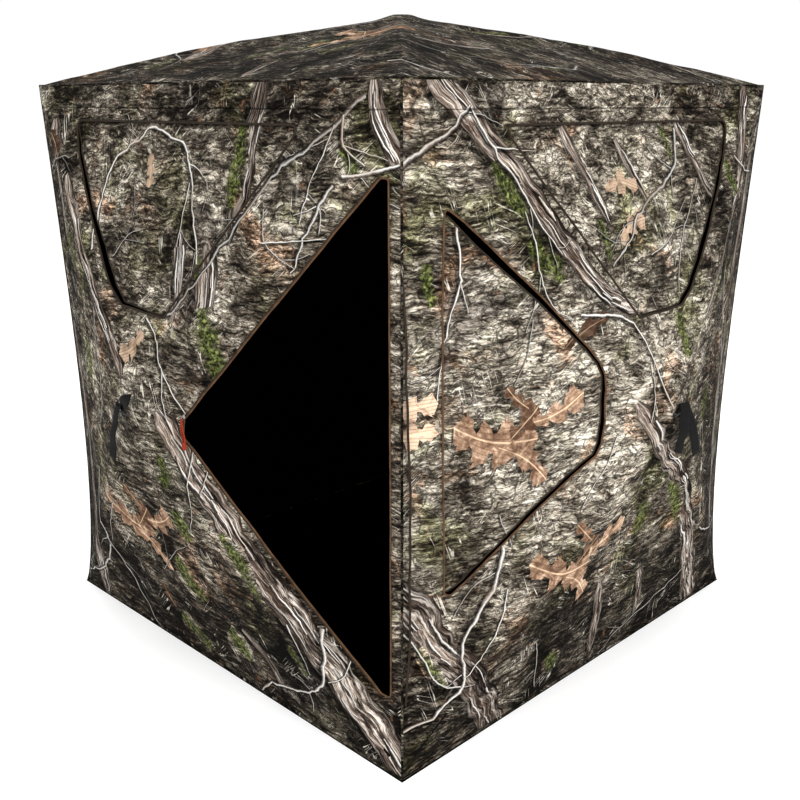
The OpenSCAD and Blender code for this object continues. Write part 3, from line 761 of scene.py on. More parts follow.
class Sheet:
    """A closed cloth mesh: printed face, black lining, and any piping on its edges."""
    tube_shade = 1.0

    def __init__(self):
        self.v, self.w, self.f, self.m = [], [], [], []
        self.pat, self.shd, self.loc = [], [], []

    def cloth(self, outline, holes, feats, where, seed, grid=0.022, lines=(), thick=0.0014, print_back=False, step=0.02, zone=lambda x, y: 0.0, so=None):
        rng = random.Random(seed)
        loop = densify(outline, step)
        verts = list(loop)
        edges = [(i, (i + 1) % len(loop)) for i in range(len(loop))]
        lo_ = np.min(np.array(loop), 0)
        hi_ = np.max(np.array(loop), 0)
        cut = []
        for h in holes:
            d = densify(h, step)
            b = len(verts)
            verts += d
            edges += [(b + i, b + (i + 1) % len(d)) for i in range(len(d))]
            cut.append(d)
        for ln in lines:
            d = densify(ln, step, closed=False)
            b = len(verts)
            verts += d
            edges += [(b + i, b + i + 1) for i in range(len(d) - 1)]
        kept = []
        for _, ft in sorted(feats, key=lambda e: e[0]):
            o = np.array(ft.outline)
            if (o.max(0) < lo_).any() or (o.min(0) > hi_).any():
                continue
            b = len(verts)
            verts += [tuple(p) for p in o]
            edges += [(b + i, b + (i + 1) % len(o)) for i in range(len(o))]
            kept.append(ft)
        nx, ny = int((hi_[0] - lo_[0]) / grid), int((hi_[1] - lo_[1]) / grid)
        cell = {(int(p[0] // (grid * 0.6)), int(p[1] // (grid * 0.6))) for p in verts}
        for i in range(nx + 1):
            for j in range(ny + 1):
                x = lo_[0] + (i + 0.5 * (j % 2)) * grid + rng.uniform(-0.12, 0.12) * grid
                y = lo_[1] + j * grid + rng.uniform(-0.12, 0.12) * grid
                if (int(x // (grid * 0.6)), int(y // (grid * 0.6))) not in cell:
                    verts.append((x, y))
        vo, _, fo, _, _, _ = delaunay_2d_cdt([Vector(p) for p in verts], edges, [], 0, 1e-5, False)
        V2 = np.array([tuple(v) for v in vo])
        T = np.array([f for f in fo])
        C = V2[T].mean(1)
        ok = inside(loop, C)
        for d in cut:
            ok &= ~inside(d, C)
        area = np.abs(np.cross(V2[T[:, 1]] - V2[T[:, 0]], V2[T[:, 2]] - V2[T[:, 0]]))
        ok &= area > 1e-10
        T, C = T[ok], C[ok]
        keep = [list(map(int, t)) for t in T]
        top = np.full(len(T), -1)
        shade = np.ones(len(T))
        for i, ft in enumerate(kept):
            o = np.array(ft.outline)
            near = np.where((C >= o.min(0)).all(1) & (C <= o.max(0)).all(1))[0]
            hit = near[inside(ft.outline, C[near])] if len(near) else near
            if ft.kind == K_SHADE:
                shade[hit] *= ft.shade
            else:
                top[hit] = i
                shade[hit] = ft.shade
        shade = np.maximum(shade, 0.22)
        src = [int(t) if t >= 0 else None for t in top]
        kind = [(kept[t].kind if t >= 0 else K_BARK, float(q)) for t, q in zip(top, shade)]
        used = sorted({i for f in keep for i in f})
        remap = {o: n for n, o in enumerate(used)}
        P = V2[used]
        base = len(self.v)
        n = len(used)
        up, low = [], []
        back = None
        for x, y in P:
            p3, s = where(x, y, 0.0)
            if back is None:
                back = where(x, y, -thick)[0] - p3
            up.append(p3)
            low.append(p3 + back)
            self.w.append(s)
        self.w += self.w[-n:]
        self.v += up + low
        tri = [[remap[i] for i in f] for f in keep]
        so = rng.uniform(0, 40) if so is None else so
        corner = np.zeros((len(tri), 3, 3))
        by = {}
        for i, s in enumerate(src):
            by.setdefault(s, []).append(i)
        corner[..., 0] = 0.0
        for i, t in enumerate(tri):
            for k in range(3):
                corner[i, k, 0] = zone(P[t[k]][0], P[t[k]][1])
        for s, idx in by.items():
            pts = P[np.array([tri[i] for i in idx]).ravel()]
            if s is not None and kept[s].line is not None:
                al, ac = kept[s].coords(pts)
                corner[idx] = np.stack([al, ac, np.full(len(al), kept[s].tint)], 1).reshape(-1, 3, 3)
        edge_use = {}
        for i, t in enumerate(tri):
            a = P[t[1]] - P[t[0]]
            b = P[t[2]] - P[t[0]]
            order = [0, 1, 2] if a[0] * b[1] - a[1] * b[0] > 0 else [0, 2, 1]
            t = [t[k] for k in order]
            self.f.append([base + k for k in t])
            self.m.append(kind[i][0])
            self.shd.append(kind[i][1])
            self.pat.append([(P[k][0] + so, P[k][1], 0.0) for k in t])
            self.loc.append([tuple(corner[i][k]) for k in order])
            self.f.append([base + n + k for k in t[::-1]])
            self.m.append(kind[i][0] if print_back else K_LINE)
            self.shd.append(kind[i][1])
            self.pat.append([(P[k][0] + so, P[k][1], 0.0) for k in t[::-1]])
            self.loc.append([tuple(corner[i][k]) for k in order[::-1]])
            for k in range(3):
                e = (t[k], t[(k + 1) % 3])
                edge_use[e] = edge_use.get(e, 0) + 1
        for (a, b) in edge_use:
            if (b, a) not in edge_use:
                self.f.append([base + b, base + a, base + n + a, base + n + b])
                self.m.append(K_PIPE_DK)
                self.shd.append(1.0)
                self.pat.append([(P[k][0] + so, P[k][1], 0.0) for k in (b, a, a, b)])
                self.loc.append([(0, 0, 0)] * 4)
        return P

    def tube(self, pts, shares, radius, mat, sides=8, closed=False, squash=1.0):
        """A cord along 3D points."""
        n = len(pts)
        base = len(self.v)
        P = [Vector(p) for p in pts]
        prev = None
        for i in range(n):
            a = P[i - 1] if (i or closed) else P[i]
            b = P[(i + 1) % n] if (i < n - 1 or closed) else P[i]
            t = (b - a).normalized()
            if prev is None:
                ref = Vector((0, 0, 1)) if abs(t.z) < 0.8 else Vector((1, 0, 0))
                u = t.cross(ref).normalized()
            else:
                u = (prev - t * prev.dot(t)).normalized()
            prev = u
            v = t.cross(u)
            rr = radius if not callable(radius) else radius(i / max(1, n - 1))
            for k in range(sides):
                an = 2 * math.pi * k / sides
                self.v.append(P[i] + u * (rr * math.cos(an)) + v * (rr * squash * math.sin(an)))
                self.w.append(shares[i])
        m = n if closed else n - 1
        for i in range(m):
            for k in range(sides):
                a = base + i * sides + k
                b = base + i * sides + (k + 1) % sides
                c = base + ((i + 1) % n) * sides + (k + 1) % sides
                d = base + ((i + 1) % n) * sides + k
                self._quad([a, b, c, d], mat)
        if not closed:
            self._quad([base + k for k in range(sides)][::-1], mat)
            self._quad([base + (n - 1) * sides + k for k in range(sides)], mat)

    def _quad(self, f, mat):
        self.f.append(f)
        self.m.append(mat)
        self.shd.append(self.tube_shade)
        self.pat.append([(0.7 * (self.v[i][0] + self.v[i][1]) + 60, self.v[i][2], 0.0) for i in f])
        self.loc.append([(0.6, 0.0, 0.0)] * len(f))

    def build(self, name, mats=CLOTH, smooth=True):
        me = bpy.data.meshes.new(name)
        me.from_pydata([tuple(v) for v in self.v], [], self.f)
        for m in mats:
            me.materials.append(m)
        me.polygons.foreach_set("material_index", self.m)
        me.polygons.foreach_set("use_smooth", [smooth] * len(self.f))
        at = me.attributes.new("shd", "FLOAT", "FACE")
        at.data.foreach_set("value", self.shd)
        at = me.attributes.new("pat", "FLOAT_VECTOR", "CORNER")
        at.data.foreach_set("vector", np.array([c for f in self.pat for c in f], np.float32).ravel())
        at = me.attributes.new("loc", "FLOAT_VECTOR", "CORNER")
        at.data.foreach_set("vector", np.array([c for f in self.loc for c in f], np.float32).ravel())
        me.update()
        ob = bpy.data.objects.new(name, me)
        bpy.context.scene.collection.objects.link(ob)
        return ob


def blend_exact(ob, b, shares):
    co = [v.co for v in ob.data.vertices]
    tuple(co[0])
    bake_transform(ob)
    np.array(shares, np.float32)


# ---------------------------------------------------------------- openings, in wall-plane coordinates
FAR_EDGE = [(-0.494, 0.697), (-0.438, 0.593), (-0.385, 0.523), (-0.323, 0.449), (-0.235, 0.350), (-0.168, 0.284), (-0.110, 0.248)]
WIN_FRONT = FAR_EDGE + [(0.090, 0.243), (0.480, 0.698)]
WIN_RIGHT = [(-x, y) for x, y in WIN_FRONT]
WIN_PLAIN = [(-0.480, 0.698), (-0.092, 0.245), (0.092, 0.245), (0.480, 0.698)]
TOP_WIN = {"front": WIN_FRONT, "right": WIN_RIGHT, "back": WIN_PLAIN, "left": WIN_PLAIN}
SIDE_WIN = [(-0.657, 0.540), (-0.611, 0.505), (-0.558, 0.458), (-0.502, 0.407), (-0.409, 0.323), (-0.346, 0.262), (-0.280, 0.199),
            (-0.246, 0.160), (-0.229, 0.128), (-0.222, 0.090), (-0.221, 0.010), (-0.225, -0.045), (-0.241, -0.073), (-0.297, -0.108),
            (-0.359, -0.150), (-0.419, -0.192), (-0.478, -0.239), (-0.536, -0.284), (-0.593, -0.330), (-0.630, -0.358), (-0.645, -0.350),
            (-0.650, -0.115), (-0.656, 0.200)]
DOOR = [(0.722, 0.598), (0.704, 0.598), (0.178, 0.010), (0.175, -0.038), (0.698, -0.595), (0.722, -0.603)]


def rounded(loop, r, n=5):
    """Rounds the corners of a closed 2D loop."""
    out = []
    m = len(loop)
    for i in range(m):
        p, a, b = Vector(loop[i]), Vector(loop[i - 1]), Vector(loop[(i + 1) % m])
        rr = r if not isinstance(r, (list, tuple)) else r[i]
        da, db = (a - p).normalized(), (b - p).normalized()
        ang = da.angle(db)
        t = min(rr / math.tan(ang / 2), 0.45 * (a - p).length, 0.45 * (b - p).length)
        for k in range(n + 1):
            s = k / n
            q = (p + da * t) * (1 - s) ** 2 + p * 2 * s * (1 - s) + (p + db * t) * s ** 2
            out.append((q.x, q.y))
    return out


def inset(loop, d):
    """Moves each side of a closed loop inwards by d (or by its own entry of d)."""
    P = [Vector(p) for p in loop]
    m = len(P)
    area = sum(P[i].x * P[(i + 1) % m].y - P[(i + 1) % m].x * P[i].y for i in range(m))
    sg = 1 if area > 0 else -1
    lines = []
    for i in range(m):
        a, b = P[i], P[(i + 1) % m]
        t = (b - a).normalized()
        nrm = Vector((-t.y, t.x)) * sg
        dd = d[i] if isinstance(d, (list, tuple)) else d
        lines.append((a + nrm * dd, t))
    out = []
    for i in range(m):
        (p, t), (q, s) = lines[i - 1], lines[i]
        den = t.x * s.y - t.y * s.x
        k = ((q - p).x * s.y - (q - p).y * s.x) / den
        x = p + t * k
        out.append((x.x, x.y))
    return out


def pull_in(loop, dists):
    """Moves each point of a closed loop inwards by its own distance."""
    P = [Vector(p) for p in loop]
    m = len(P)
    area = sum(P[i].x * P[(i + 1) % m].y - P[(i + 1) % m].x * P[i].y for i in range(m))
    sg = 1 if area > 0 else -1
    out = []
    for i in range(m):
        e0, e1 = (P[i] - P[i - 1]).normalized(), (P[(i + 1) % m] - P[i]).normalized()
        n0, n1 = Vector((-e0.y, e0.x)) * sg, Vector((-e1.y, e1.x)) * sg
        bi = (n0 + n1).normalized()
        q = P[i] + bi * (dists[i] / max(0.45, bi.dot(n0)))
        out.append((q.x, q.y))
    return out


top_loop = {w: rounded(TOP_WIN[w], 0.020) for w in WALLS[:4]}
side_loop = rounded(SIDE_WIN, 0.010)
door_loop = rounded(DOOR, 0.010)


def wall_outline(w):
    return [(-HALF, -reach(w, 0)), (HALF, -reach(w, 0)), (HALF, reach(w, 2)), (-HALF, reach(w, 2))]


def ridge_lines(w):
    return [[(0.0, 0.0), c] for c in wall_outline(w)]


# ---------------------------------------------------------------- print layout for each wall
TRUNKS = {
    "right": [([(-0.68, 0.82), (-0.56, 0.70), (-0.44, 0.56), (-0.33, 0.43), (-0.22, 0.33), (-0.09, 0.26)], 0.075, 0.055, 0.55, 1.0, 12),
              ([(-0.13, 0.04), (-0.06, -0.05), (0.04, -0.14), (0.16, -0.24), (0.28, -0.38), (0.38, -0.52), (0.48, -0.66), (0.58, -0.81)], 0.042, 0.080, 0.45, 1.0, 22),
              ([(-0.82, -0.28), (-0.70, -0.42), (-0.60, -0.56), (-0.50, -0.68), (-0.40, -0.84)], 0.095, 0.085, 0.30, 0.85, 14),
              ([(-0.09, -0.48), (-0.05, -0.60), (-0.01, -0.76)], 0.030, 0.040, 0.95, 0.9, 1),
              ([(0.12, -0.52), (0.16, -0.60), (0.20, -0.71)], 0.032, 0.026, 0.95, 0.9, 1),
              ([(-0.26, 0.69), (-0.20, 0.59), (-0.14, 0.47)], 0.036, 0.026, 0.85, 0.95, 3),
              ([(-0.05, 0.66), (0.0, 0.58), (0.03, 0.51)], 0.032, 0.022, 0.90, 0.9, 1),
              ([(0.23, 0.71), (0.30, 0.60), (0.37, 0.49)], 0.036, 0.028, 0.85, 0.9, 3),
              ([(0.63, 0.80), (0.52, 0.56), (0.40, 0.37), (0.24, 0.20)], 0.05, 0.035, 0.20, 0.7, 8),
              ([(0.68, 0.60), (0.60, 0.20), (0.56, -0.20), (0.60, -0.55)], 0.07, 0.05, 0.30, 0.75, 10)],
    "front": [([(0.10, 0.02), (0.18, -0.11), (0.29, -0.24), (0.41, -0.375), (0.53, -0.51), (0.64, -0.64), (0.79, -0.82)], 0.062, 0.092, 0.50, 1.12, 20),
              ([(0.315, 0.82), (0.305, 0.66), (0.31, 0.54), (0.30, 0.44)], 0.055, 0.05, 0.15, 0.7, 2),
              ([(0.21, 0.43), (0.24, 0.33), (0.27, 0.21), (0.31, 0.09)], 0.085, 0.07, 0.4, 0.85, 9),
              ([(0.09, 0.45), (0.11, 0.34), (0.13, 0.24)], 0.05, 0.03, 0.2, 0.9, 7),
              ([(-0.50, 0.55), (-0.36, 0.38), (-0.26, 0.27), (-0.16, 0.18), (-0.05, 0.08)], 0.045, 0.04, 0.6, 1.0, 12),
              ([(0.68, 0.80), (0.71, 0.70), (0.755, 0.60)], 0.035, 0.04, 0.85, 1.0, 3),
              ([(-0.70, 0.10), (-0.60, -0.20), (-0.55, -0.50), (-0.62, -0.80)], 0.08, 0.07, 0.3, 0.8, 10),
              ([(-0.62, 0.70), (-0.58, 0.55), (-0.60, 0.35)], 0.06, 0.04, 0.95, 0.8, 4),
              ([(0.22, -0.58), (0.30, -0.64), (0.34, -0.74)], 0.035, 0.025, 0.95, 0.8, 0)],
}
LIMBS = {
    "right": [([(-0.77, 0.60), (-0.70, 0.66), (-0.63, 0.70), (-0.57, 0.735)], 0.015, 0.012, 0.75, 2),
              ([(-0.57, 0.735), (-0.52, 0.65), (-0.47, 0.58), (-0.42, 0.50), (-0.36, 0.42)], 0.013, 0.008, 0.95, 4),
              ([(0.225, 0.68), (0.215, 0.60), (0.16, 0.555), (0.06, 0.515), (-0.01, 0.48), (-0.07, 0.42), (-0.15, 0.37)], 0.017, 0.010, 0.62, 4),
              ([(-0.31, 0.275), (-0.21, 0.265), (-0.12, 0.235), (-0.07, 0.15), (-0.04, 0.07), (-0.02, 0.01)], 0.011, 0.007, 1.0, 1),
              ([(-0.08, 0.13), (-0.075, 0.05), (-0.085, -0.01)], 0.006, 0.004, 0.9, 0),
              ([(-0.625, 0.50), (-0.61, 0.38), (-0.635, 0.28), (-0.66, 0.20), (-0.665, 0.12)], 0.010, 0.005, 0.95, 1),
              ([(-0.61, 0.38), (-0.59, 0.31)], 0.004, 0.003, 0.9, 0),
              ([(-0.46, 0.52), (-0.44, 0.44), (-0.42, 0.36), (-0.38, 0.30), (-0.33, 0.27)], 0.006, 0.004, 0.95, 1),
              ([(-0.49, -0.26), (-0.52, -0.36), (-0.575, -0.45), (-0.60, -0.53), (-0.595, -0.60), (-0.66, -0.65), (-0.75, -0.69)], 0.018, 0.012, 0.85, 2),
              ([(-0.48, -0.37), (-0.50, -0.46), (-0.55, -0.54), (-0.59, -0.58)], 0.007, 0.005, 0.95, 0),
              ([(-0.76, -0.42), (-0.70, -0.50), (-0.66, -0.58), (-0.60, -0.60)], 0.009, 0.007, 0.95, 1),
              ([(-0.18, -0.03), (-0.21, -0.10), (-0.26, -0.17), (-0.28, -0.21)], 0.004, 0.003, 0.9, 0),
              ([(0.45, -0.62), (0.36, -0.66), (0.24, -0.70), (0.12, -0.74), (0.04, -0.80)], 0.013, 0.008, 0.5, 2),
              ([(-0.43, 0.28), (-0.44, 0.20), (-0.47, 0.13)], 0.004, 0.003, 0.7, 0),
              ([(0.30, 0.55), (0.22, 0.46), (0.15, 0.36), (0.12, 0.28)], 0.006, 0.004, 0.8, 2),
              ([(0.02, 0.38), (0.12, 0.41), (0.22, 0.50)], 0.005, 0.003, 0.8, 1),
              ([(-0.33, -0.58), (-0.29, -0.66), (-0.26, -0.76)], 0.005, 0.004, 0.8, 0),
              ([(-0.50, -0.18), (-0.47, -0.26)], 0.004, 0.003, 0.8, 0),
              ([(0.50, 0.60), (0.58, 0.56), (0.70, 0.55)], 0.010, 0.006, 1.0, 1),
              ([(0.42, -0.48), (0.56, -0.54), (0.72, -0.58)], 0.009, 0.006, 0.8, 1),
              ([(0.45, 0.30), (0.55, 0.05), (0.70, -0.15)], 0.010, 0.006, 0.8, 2)],
    "front": [([(-0.29, 0.37), (-0.30, 0.46), (-0.28, 0.57), (-0.22, 0.63), (-0.12, 0.68), (-0.04, 0.67), (0.05, 0.64), (0.10, 0.57), (0.13, 0.48), (0.18, 0.38)], 0.014, 0.010, 0.95, 3),
              ([(0.09, 0.56), (0.085, 0.48), (0.08, 0.41)], 0.007, 0.005, 0.9, 1),
              ([(0.66, 0.76), (0.58, 0.70), (0.50, 0.645), (0.42, 0.60), (0.36, 0.53), (0.28, 0.44), (0.20, 0.35), (0.10, 0.25)], 0.018, 0.011, 0.50, 3),
              ([(0.60, 0.72), (0.62, 0.66), (0.67, 0.62)], 0.009, 0.006, 1.0, 2),
              ([(0.58, 0.70), (0.55, 0.60), (0.52, 0.50)], 0.007, 0.004, 0.9, 2),
              ([(0.60, 0.58), (0.55, 0.51), (0.52, 0.45), (0.49, 0.39)], 0.011, 0.007, 0.8, 2),
              ([(0.40, 0.52), (0.44, 0.44), (0.50, 0.40)], 0.006, 0.004, 0.8, 1),
              ([(0.42, 0.45), (0.52, 0.46), (0.58, 0.47)], 0.006, 0.004, 1.0, 0),
              ([(0.62, 0.60), (0.69, 0.605), (0.76, 0.625)], 0.012, 0.010, 0.9, 1),
              ([(0.02, 0.235), (0.08, 0.18), (0.12, 0.13), (0.145, 0.07), (0.185, 0.02)], 0.009, 0.006, 1.0, 0),
              ([(0.12, 0.13), (0.115, 0.06), (0.125, 0.0)], 0.006, 0.004, 0.95, 0),
              ([(0.545, -0.46), (0.555, -0.54), (0.55, -0.60), (0.48, -0.66), (0.38, -0.71), (0.28, -0.74), (0.20, -0.80)], 0.016, 0.010, 0.9, 2),
              ([(0.45, -0.47), (0.48, -0.54), (0.49, -0.61)], 0.007, 0.005, 1.0, 0),
              ([(0.62, -0.53), (0.60, -0.58), (0.56, -0.60)], 0.006, 0.005, 0.95, 0),
              ([(0.20, -0.06), (0.18, -0.14), (0.17, -0.22), (0.12, -0.32)], 0.006, 0.004, 0.9, 0),
              ([(0.24, -0.10), (0.215, -0.18)], 0.006, 0.004, 1.0, 0),
              ([(-0.28, 0.22), (-0.29, 0.08), (-0.28, -0.03), (-0.33, -0.12)], 0.012, 0.008, 0.7, 2),
              ([(-0.42, -0.28), (-0.44, -0.42), (-0.43, -0.52), (-0.50, -0.62), (-0.62, -0.70), (-0.76, -0.76)], 0.018, 0.012, 0.7, 3),
              ([(-0.43, -0.52), (-0.36, -0.64), (-0.30, -0.80)], 0.014, 0.010, 0.6, 1),
              ([(-0.77, 0.54), (-0.64, 0.58), (-0.50, 0.60)], 0.013, 0.009, 0.4, 2),
              ([(-0.28, -0.34), (-0.36, -0.44), (-0.40, -0.52)], 0.006, 0.004, 0.7, 1),
              ([(-0.12, -0.52), (-0.02, -0.43), (0.06, -0.38)], 0.006, 0.004, 0.5, 1),
              ([(-0.20, 0.36), (-0.14, 0.42), (-0.08, 0.44)], 0.005, 0.003, 0.8, 2)],
}
MOSS = {
    "right": [([(-0.54, 0.62), (-0.50, 0.56), (-0.46, 0.51)], 0.050), ([(-0.46, 0.46), (-0.41, 0.41), (-0.37, 0.36)], 0.050), ([(-0.17, 0.48), (-0.155, 0.38)], 0.028),
              ([(0.09, 0.23), (0.10, 0.12)], 0.040), ([(0.11, -0.23), (0.18, -0.31), (0.24, -0.40)], 0.042), ([(-0.24, -0.66), (-0.19, -0.72)], 0.045),
              ([(0.15, 0.69), (0.19, 0.61)], 0.022), ([(0.44, 0.60), (0.48, 0.50)], 0.035), ([(-0.71, -0.48), (-0.65, -0.60)], 0.025), ([(-0.70, 0.42), (-0.68, 0.33)], 0.03),
              ([(0.30, -0.10), (0.36, -0.02)], 0.05), ([(0.0, -0.26), (0.02, -0.36)], 0.07)],
    "front": [([(0.262, 0.70), (0.265, 0.60), (0.27, 0.51)], 0.050), ([(0.25, 0.29), (0.265, 0.20), (0.285, 0.12)], 0.062), ([(0.27, -0.27), (0.33, -0.35), (0.38, -0.43)], 0.040),
              ([(0.08, -0.26), (0.10, -0.35)], 0.07), ([(0.18, 0.40), (0.20, 0.35)], 0.026), ([(-0.57, 0.42), (-0.50, 0.28)], 0.05), ([(-0.12, -0.68), (0.0, -0.74)], 0.06),
              ([(-0.02, -0.44), (0.06, -0.56)], 0.07), ([(0.14, -0.62), (0.20, -0.70)], 0.06), ([(0.10, -0.10), (0.06, -0.20)], 0.05),
              ([(0.43, -0.54), (0.47, -0.62)], 0.026), ([(0.62, 0.66), (0.65, 0.60)], 0.03), ([(-0.45, 0.10), (-0.40, -0.05)], 0.05)],
}


def wall_print(w):
    rng = random.Random({"front": 11, "right": 23, "back": 37, "left": 53, "roof": 71}[w])
    out = []
    src, f = {"front": ("front", 1), "right": ("right", 1), "back": ("right", -1), "left": ("front", -1), "roof": (None, 1)}[w]
    if src is None:
        return generic_print(rng, -HALF, HALF, -reach(w, 0), reach(w, 2), 1.5)
    m = lambda pts: [(f * x, y) for x, y in pts]
    # shadow line under the turned-over eave band, broken where the stitching pulls it tight
    hem = [(-0.785 + 1.57 * i / 60, reach(w, 2) - 0.0590 + rng.uniform(-0.0006, 0.0006)) for i in range(61)]
    out.append((2.5, Feature(K_SHADE, strip_outline(hem, [0.0045 * rng.uniform(0.4, 1.3) for _ in hem]), shade=0.34)))
    for pts, w0, w1, tint, shade, white in TRUNKS[src]:
        trunk(out, rng, m(pts), w0, w1, tint, shade, white)
    for pts, w0, w1, pale, twigs in LIMBS[src]:
        limb(out, rng, m(pts), w0, w1, pale, twigs)
    for pts, width in MOSS[src]:
        moss(out, rng, m(pts), width)
    if src == "front":
        # painted shadow: a dark strip down the outer side edge, where the cloth turns away from the light
        for pts, ww in (([(-0.790, 0.46), (-0.786, 0.30), (-0.784, 0.08), (-0.790, -0.08)], [0.006, 0.070, 0.075, 0.008]),):
            out.append((3, Feature(K_SHADE, strip_outline(m(pts), ww), shade=0.12)))
    if src == "right":
        leaf_group(out, rng, f * -0.45, 0.015, 1.0, f)
        leaf_group(out, rng, f * -0.25, -0.355, 1.0, f)
        leaf(out, rng, (f * -0.79, 0.105), (f * -0.665, 0.115), 0.26, 0.95)
        leaf(out, rng, (f * -0.665, 0.045), (f * -0.79, 0.050), 0.26, 0.98)
        leaf(out, rng, (f * -0.13, 0.55), (f * 0.01, 0.54), 0.20, 0.93, 0.1, 0.7)
        leaf(out, rng, (f * -0.10, 0.42), (f * 0.02, 0.47), 0.24, 0.93, 0.1, 0.75)
        leaf(out, rng, (f * -0.34, 0.20), (f * -0.22, 0.27), 0.16, 0.3, 0.1, 0.6)
    else:
        leaf_group(out, rng, f * -0.14, -0.37, 1.0, f)
        leaf(out, rng, (f * -0.10, 0.62), (f * -0.08, 0.54), 0.30, 0.93, 0.1, 0.6)
        leaf(out, rng, (f * 0.02, 0.20), (f * -0.08, 0.13), 0.26, 0.93, 0.1, 0.6)
        leaf(out, rng, (f * -0.64, 0.66), (f * -0.57, 0.60), 0.35, 0.2, 0.1, 0.8)
        leaf(out, rng, (f * -0.14, -0.66), (f * -0.16, -0.58), 0.30, 0.3, 0.1, 0.7)
    return out


def wall_zone(w):
    """How far the print's ground is darkened and browned over the wall: darker towards the bottom and towards one side
    edge, with darker and paler patches on the front and left walls, an even darkening on the roof, and a painted pool
    of light over the middle of the right and back walls.
    """
    def zone(x, y):
        if w == "roof":
            return 0.75
        z = 1.1 * min(1.0, max(0.0, (-0.30 - y) / 0.25))
        if w in ("front", "left"):
            f = 1 if w == "front" else -1
            z += 0.5 * min(1.0, max(0.0, (-0.30 - f * x) / 0.2)) + 0.9 * math.exp(-((f * x + 0.05) / 0.15) ** 2 - ((y - 0.41) / 0.07) ** 2)
            z += 0.15 - 1.3 * math.exp(-((f * x - 0.04) / 0.13) ** 2 - ((y - 0.13) / 0.14) ** 2) - 0.8 * math.exp(-((f * x - 0.18) / 0.10) ** 2 - ((y + 0.10) / 0.12) ** 2)
        else:
            f = 1 if w == "right" else -1
            # darker towards the far side edge; the broad negative term is painted light that lightens the middle of the
            # wall
            z += 0.6 * min(1.0, max(0.0, (f * x - 0.25) / 0.2)) - 0.72 * math.exp(-((f * x + 0.40) / 0.42) ** 2 - ((y - 0.10) / 0.50) ** 2)
        return min(z, 1.3)
    return zone


PRINT_AT = {"front": 3.0, "right": 11.0, "back": 19.0, "left": 27.0, "roof": 35.0}
PRINTS = {w: wall_print(w) for w in WALLS}
BODY_OF_WALL = {w: f"{w}_hub" for w in WALLS}
GORES = {w: [f"{w}_gore_{k}" for k in (("bottom", "right", "top", "left") if w != "roof" else ("front", "right", "back", "left"))] for w in WALLS}

for w in WALLS:
    sh = Sheet()
    holes = []
    lines = list(ridge_lines(w))
    for rr in (0.030, 0.044, 0.062, 0.084):
        lines.append([(rr * math.cos(2 * math.pi * i / 20), rr * math.sin(2 * math.pi * i / 20)) for i in range(21)])
    if w != "roof":
        holes.append(top_loop[w])
        yt = reach(w, 2)
        for d in (0.0538, 0.0562):
            lines.append([(-HALF, yt - d), (HALF, yt - d)])
    if w == "right":
        holes.append(side_loop)
    if w == "front":
        holes.append(door_loop)
    feats = PRINTS[w]
    sh.cloth(wall_outline(w), holes, feats, lambda x, y, o, w=w: place(w, x, y, o), 100 + WALLS.index(w), lines=lines, zone=wall_zone(w), so=PRINT_AT[w])
    # piping round each opening
    for h in holes:
        is_door = h is door_loop
        pts = densify(h, 0.012)
        pp = [place(w, x, y, 0.0002) for x, y in pts]
        mat = K_PIPE if (is_door or h is side_loop) else K_PIPE_DK
        sh.tube([p for p, _ in pp], [s for _, s in pp], 0.0020 if is_door else (0.0024 if h is side_loop else 0.0030), mat, 7, closed=True)
    ob = sh.build(f"{w}_cloth")
    blend_exact(ob, BODY_OF_WALL[w], sh.w)
    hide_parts(*GORES[w])

# ---------------------------------------------------------------- window covers
def cover_piece(name, w, loop, body, seed, gaps):
    outline = rounded(pull_in(loop, gaps), 0.016)
    s0 = seed * 1.37
    cx = sum(p[0] for p in loop) / len(loop)
    cy = sum(p[1] for p in loop) / len(loop)

    def where(x, y, o):
        p, s = place(w, x, y, 0.0)
        en = ring(w)[3]
        f = noise.fractal(Vector((x * 9, y * 9, s0)), 0.8, 2.1, 3)
        g = math.sin((x * 1.3 + y) * 60 + 4 * f + s0)
        edge = min(abs(x - cx) * 3, 1)
        return p + en * (-0.0072 + 0.0038 * f + 0.0012 * g * edge + o), 0.0

    sh = Sheet()
    sh.cloth(outline, [], PRINTS[w], where, seed, zone=wall_zone(w), so=PRINT_AT[w])
    pts = densify(outline, 0.014)
    sh.tube([where(x, y, -0.0007)[0] for x, y in pts], [0.0] * len(pts), 0.0024, K_PIPE_DK, 6, closed=True)
    ob = sh.build(name)
    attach(ob, body)
    return ob


GAPS = {"front": [0.002, 0.003, 0.004, 0.008, 0.016, 0.017, 0.007, 0.001, -0.001], "right": [0.002, 0.003, 0.005, 0.008, 0.011, 0.008, 0.003, 0.000, -0.002]}
for i, w in enumerate(WALLS[:4]):
    ob = cover_piece(f"{w}_cover", w, TOP_WIN[w], f"{w}_window_cover", 200 + i, GAPS.get(w, [-0.004] * 4))
    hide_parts(f"{w}_window_cover")
ob = cover_piece("side_cover", "right", SIDE_WIN, "side_window_cover", 210,
                 [0.006, 0.013, 0.017, 0.015, 0.009, 0.007, 0.005, 0.005, 0.005, 0.006, 0.007, 0.006, 0.006, 0.005,
                  0.005, 0.005, 0.006, 0.005, 0.005, 0.008, 0.004, 0.002, 0.003])
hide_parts("side_window_cover")

# ---------------------------------------------------------------- door panel, swung open on its hinge
j = JOINT["door_swing"]
ax, pv = Vector(j["axis"]).normalized(), Vector(j["pos_m"])
OPEN = Matrix.Translation(pv) @ Matrix.Rotation(-math.radians(j["range_deg"][0]), 4, ax) @ Matrix.Translation(-pv)


def door_where(x, y, o):
    p, s = place("front", x, y, 0.0)
    en = ring("front")[3]
    f = noise.fractal(Vector((x * 6, y * 5, 88.0)), 0.8, 2.1, 3)
    u = y
    v = HALF - x
    fold = math.sin(v * 34 + 2.2 * f + u * 3) * min(1, v * 4)
    return OPEN @ (p + en * (-0.0095 + 0.004 * f + 0.0035 * fold + o)), 0.0


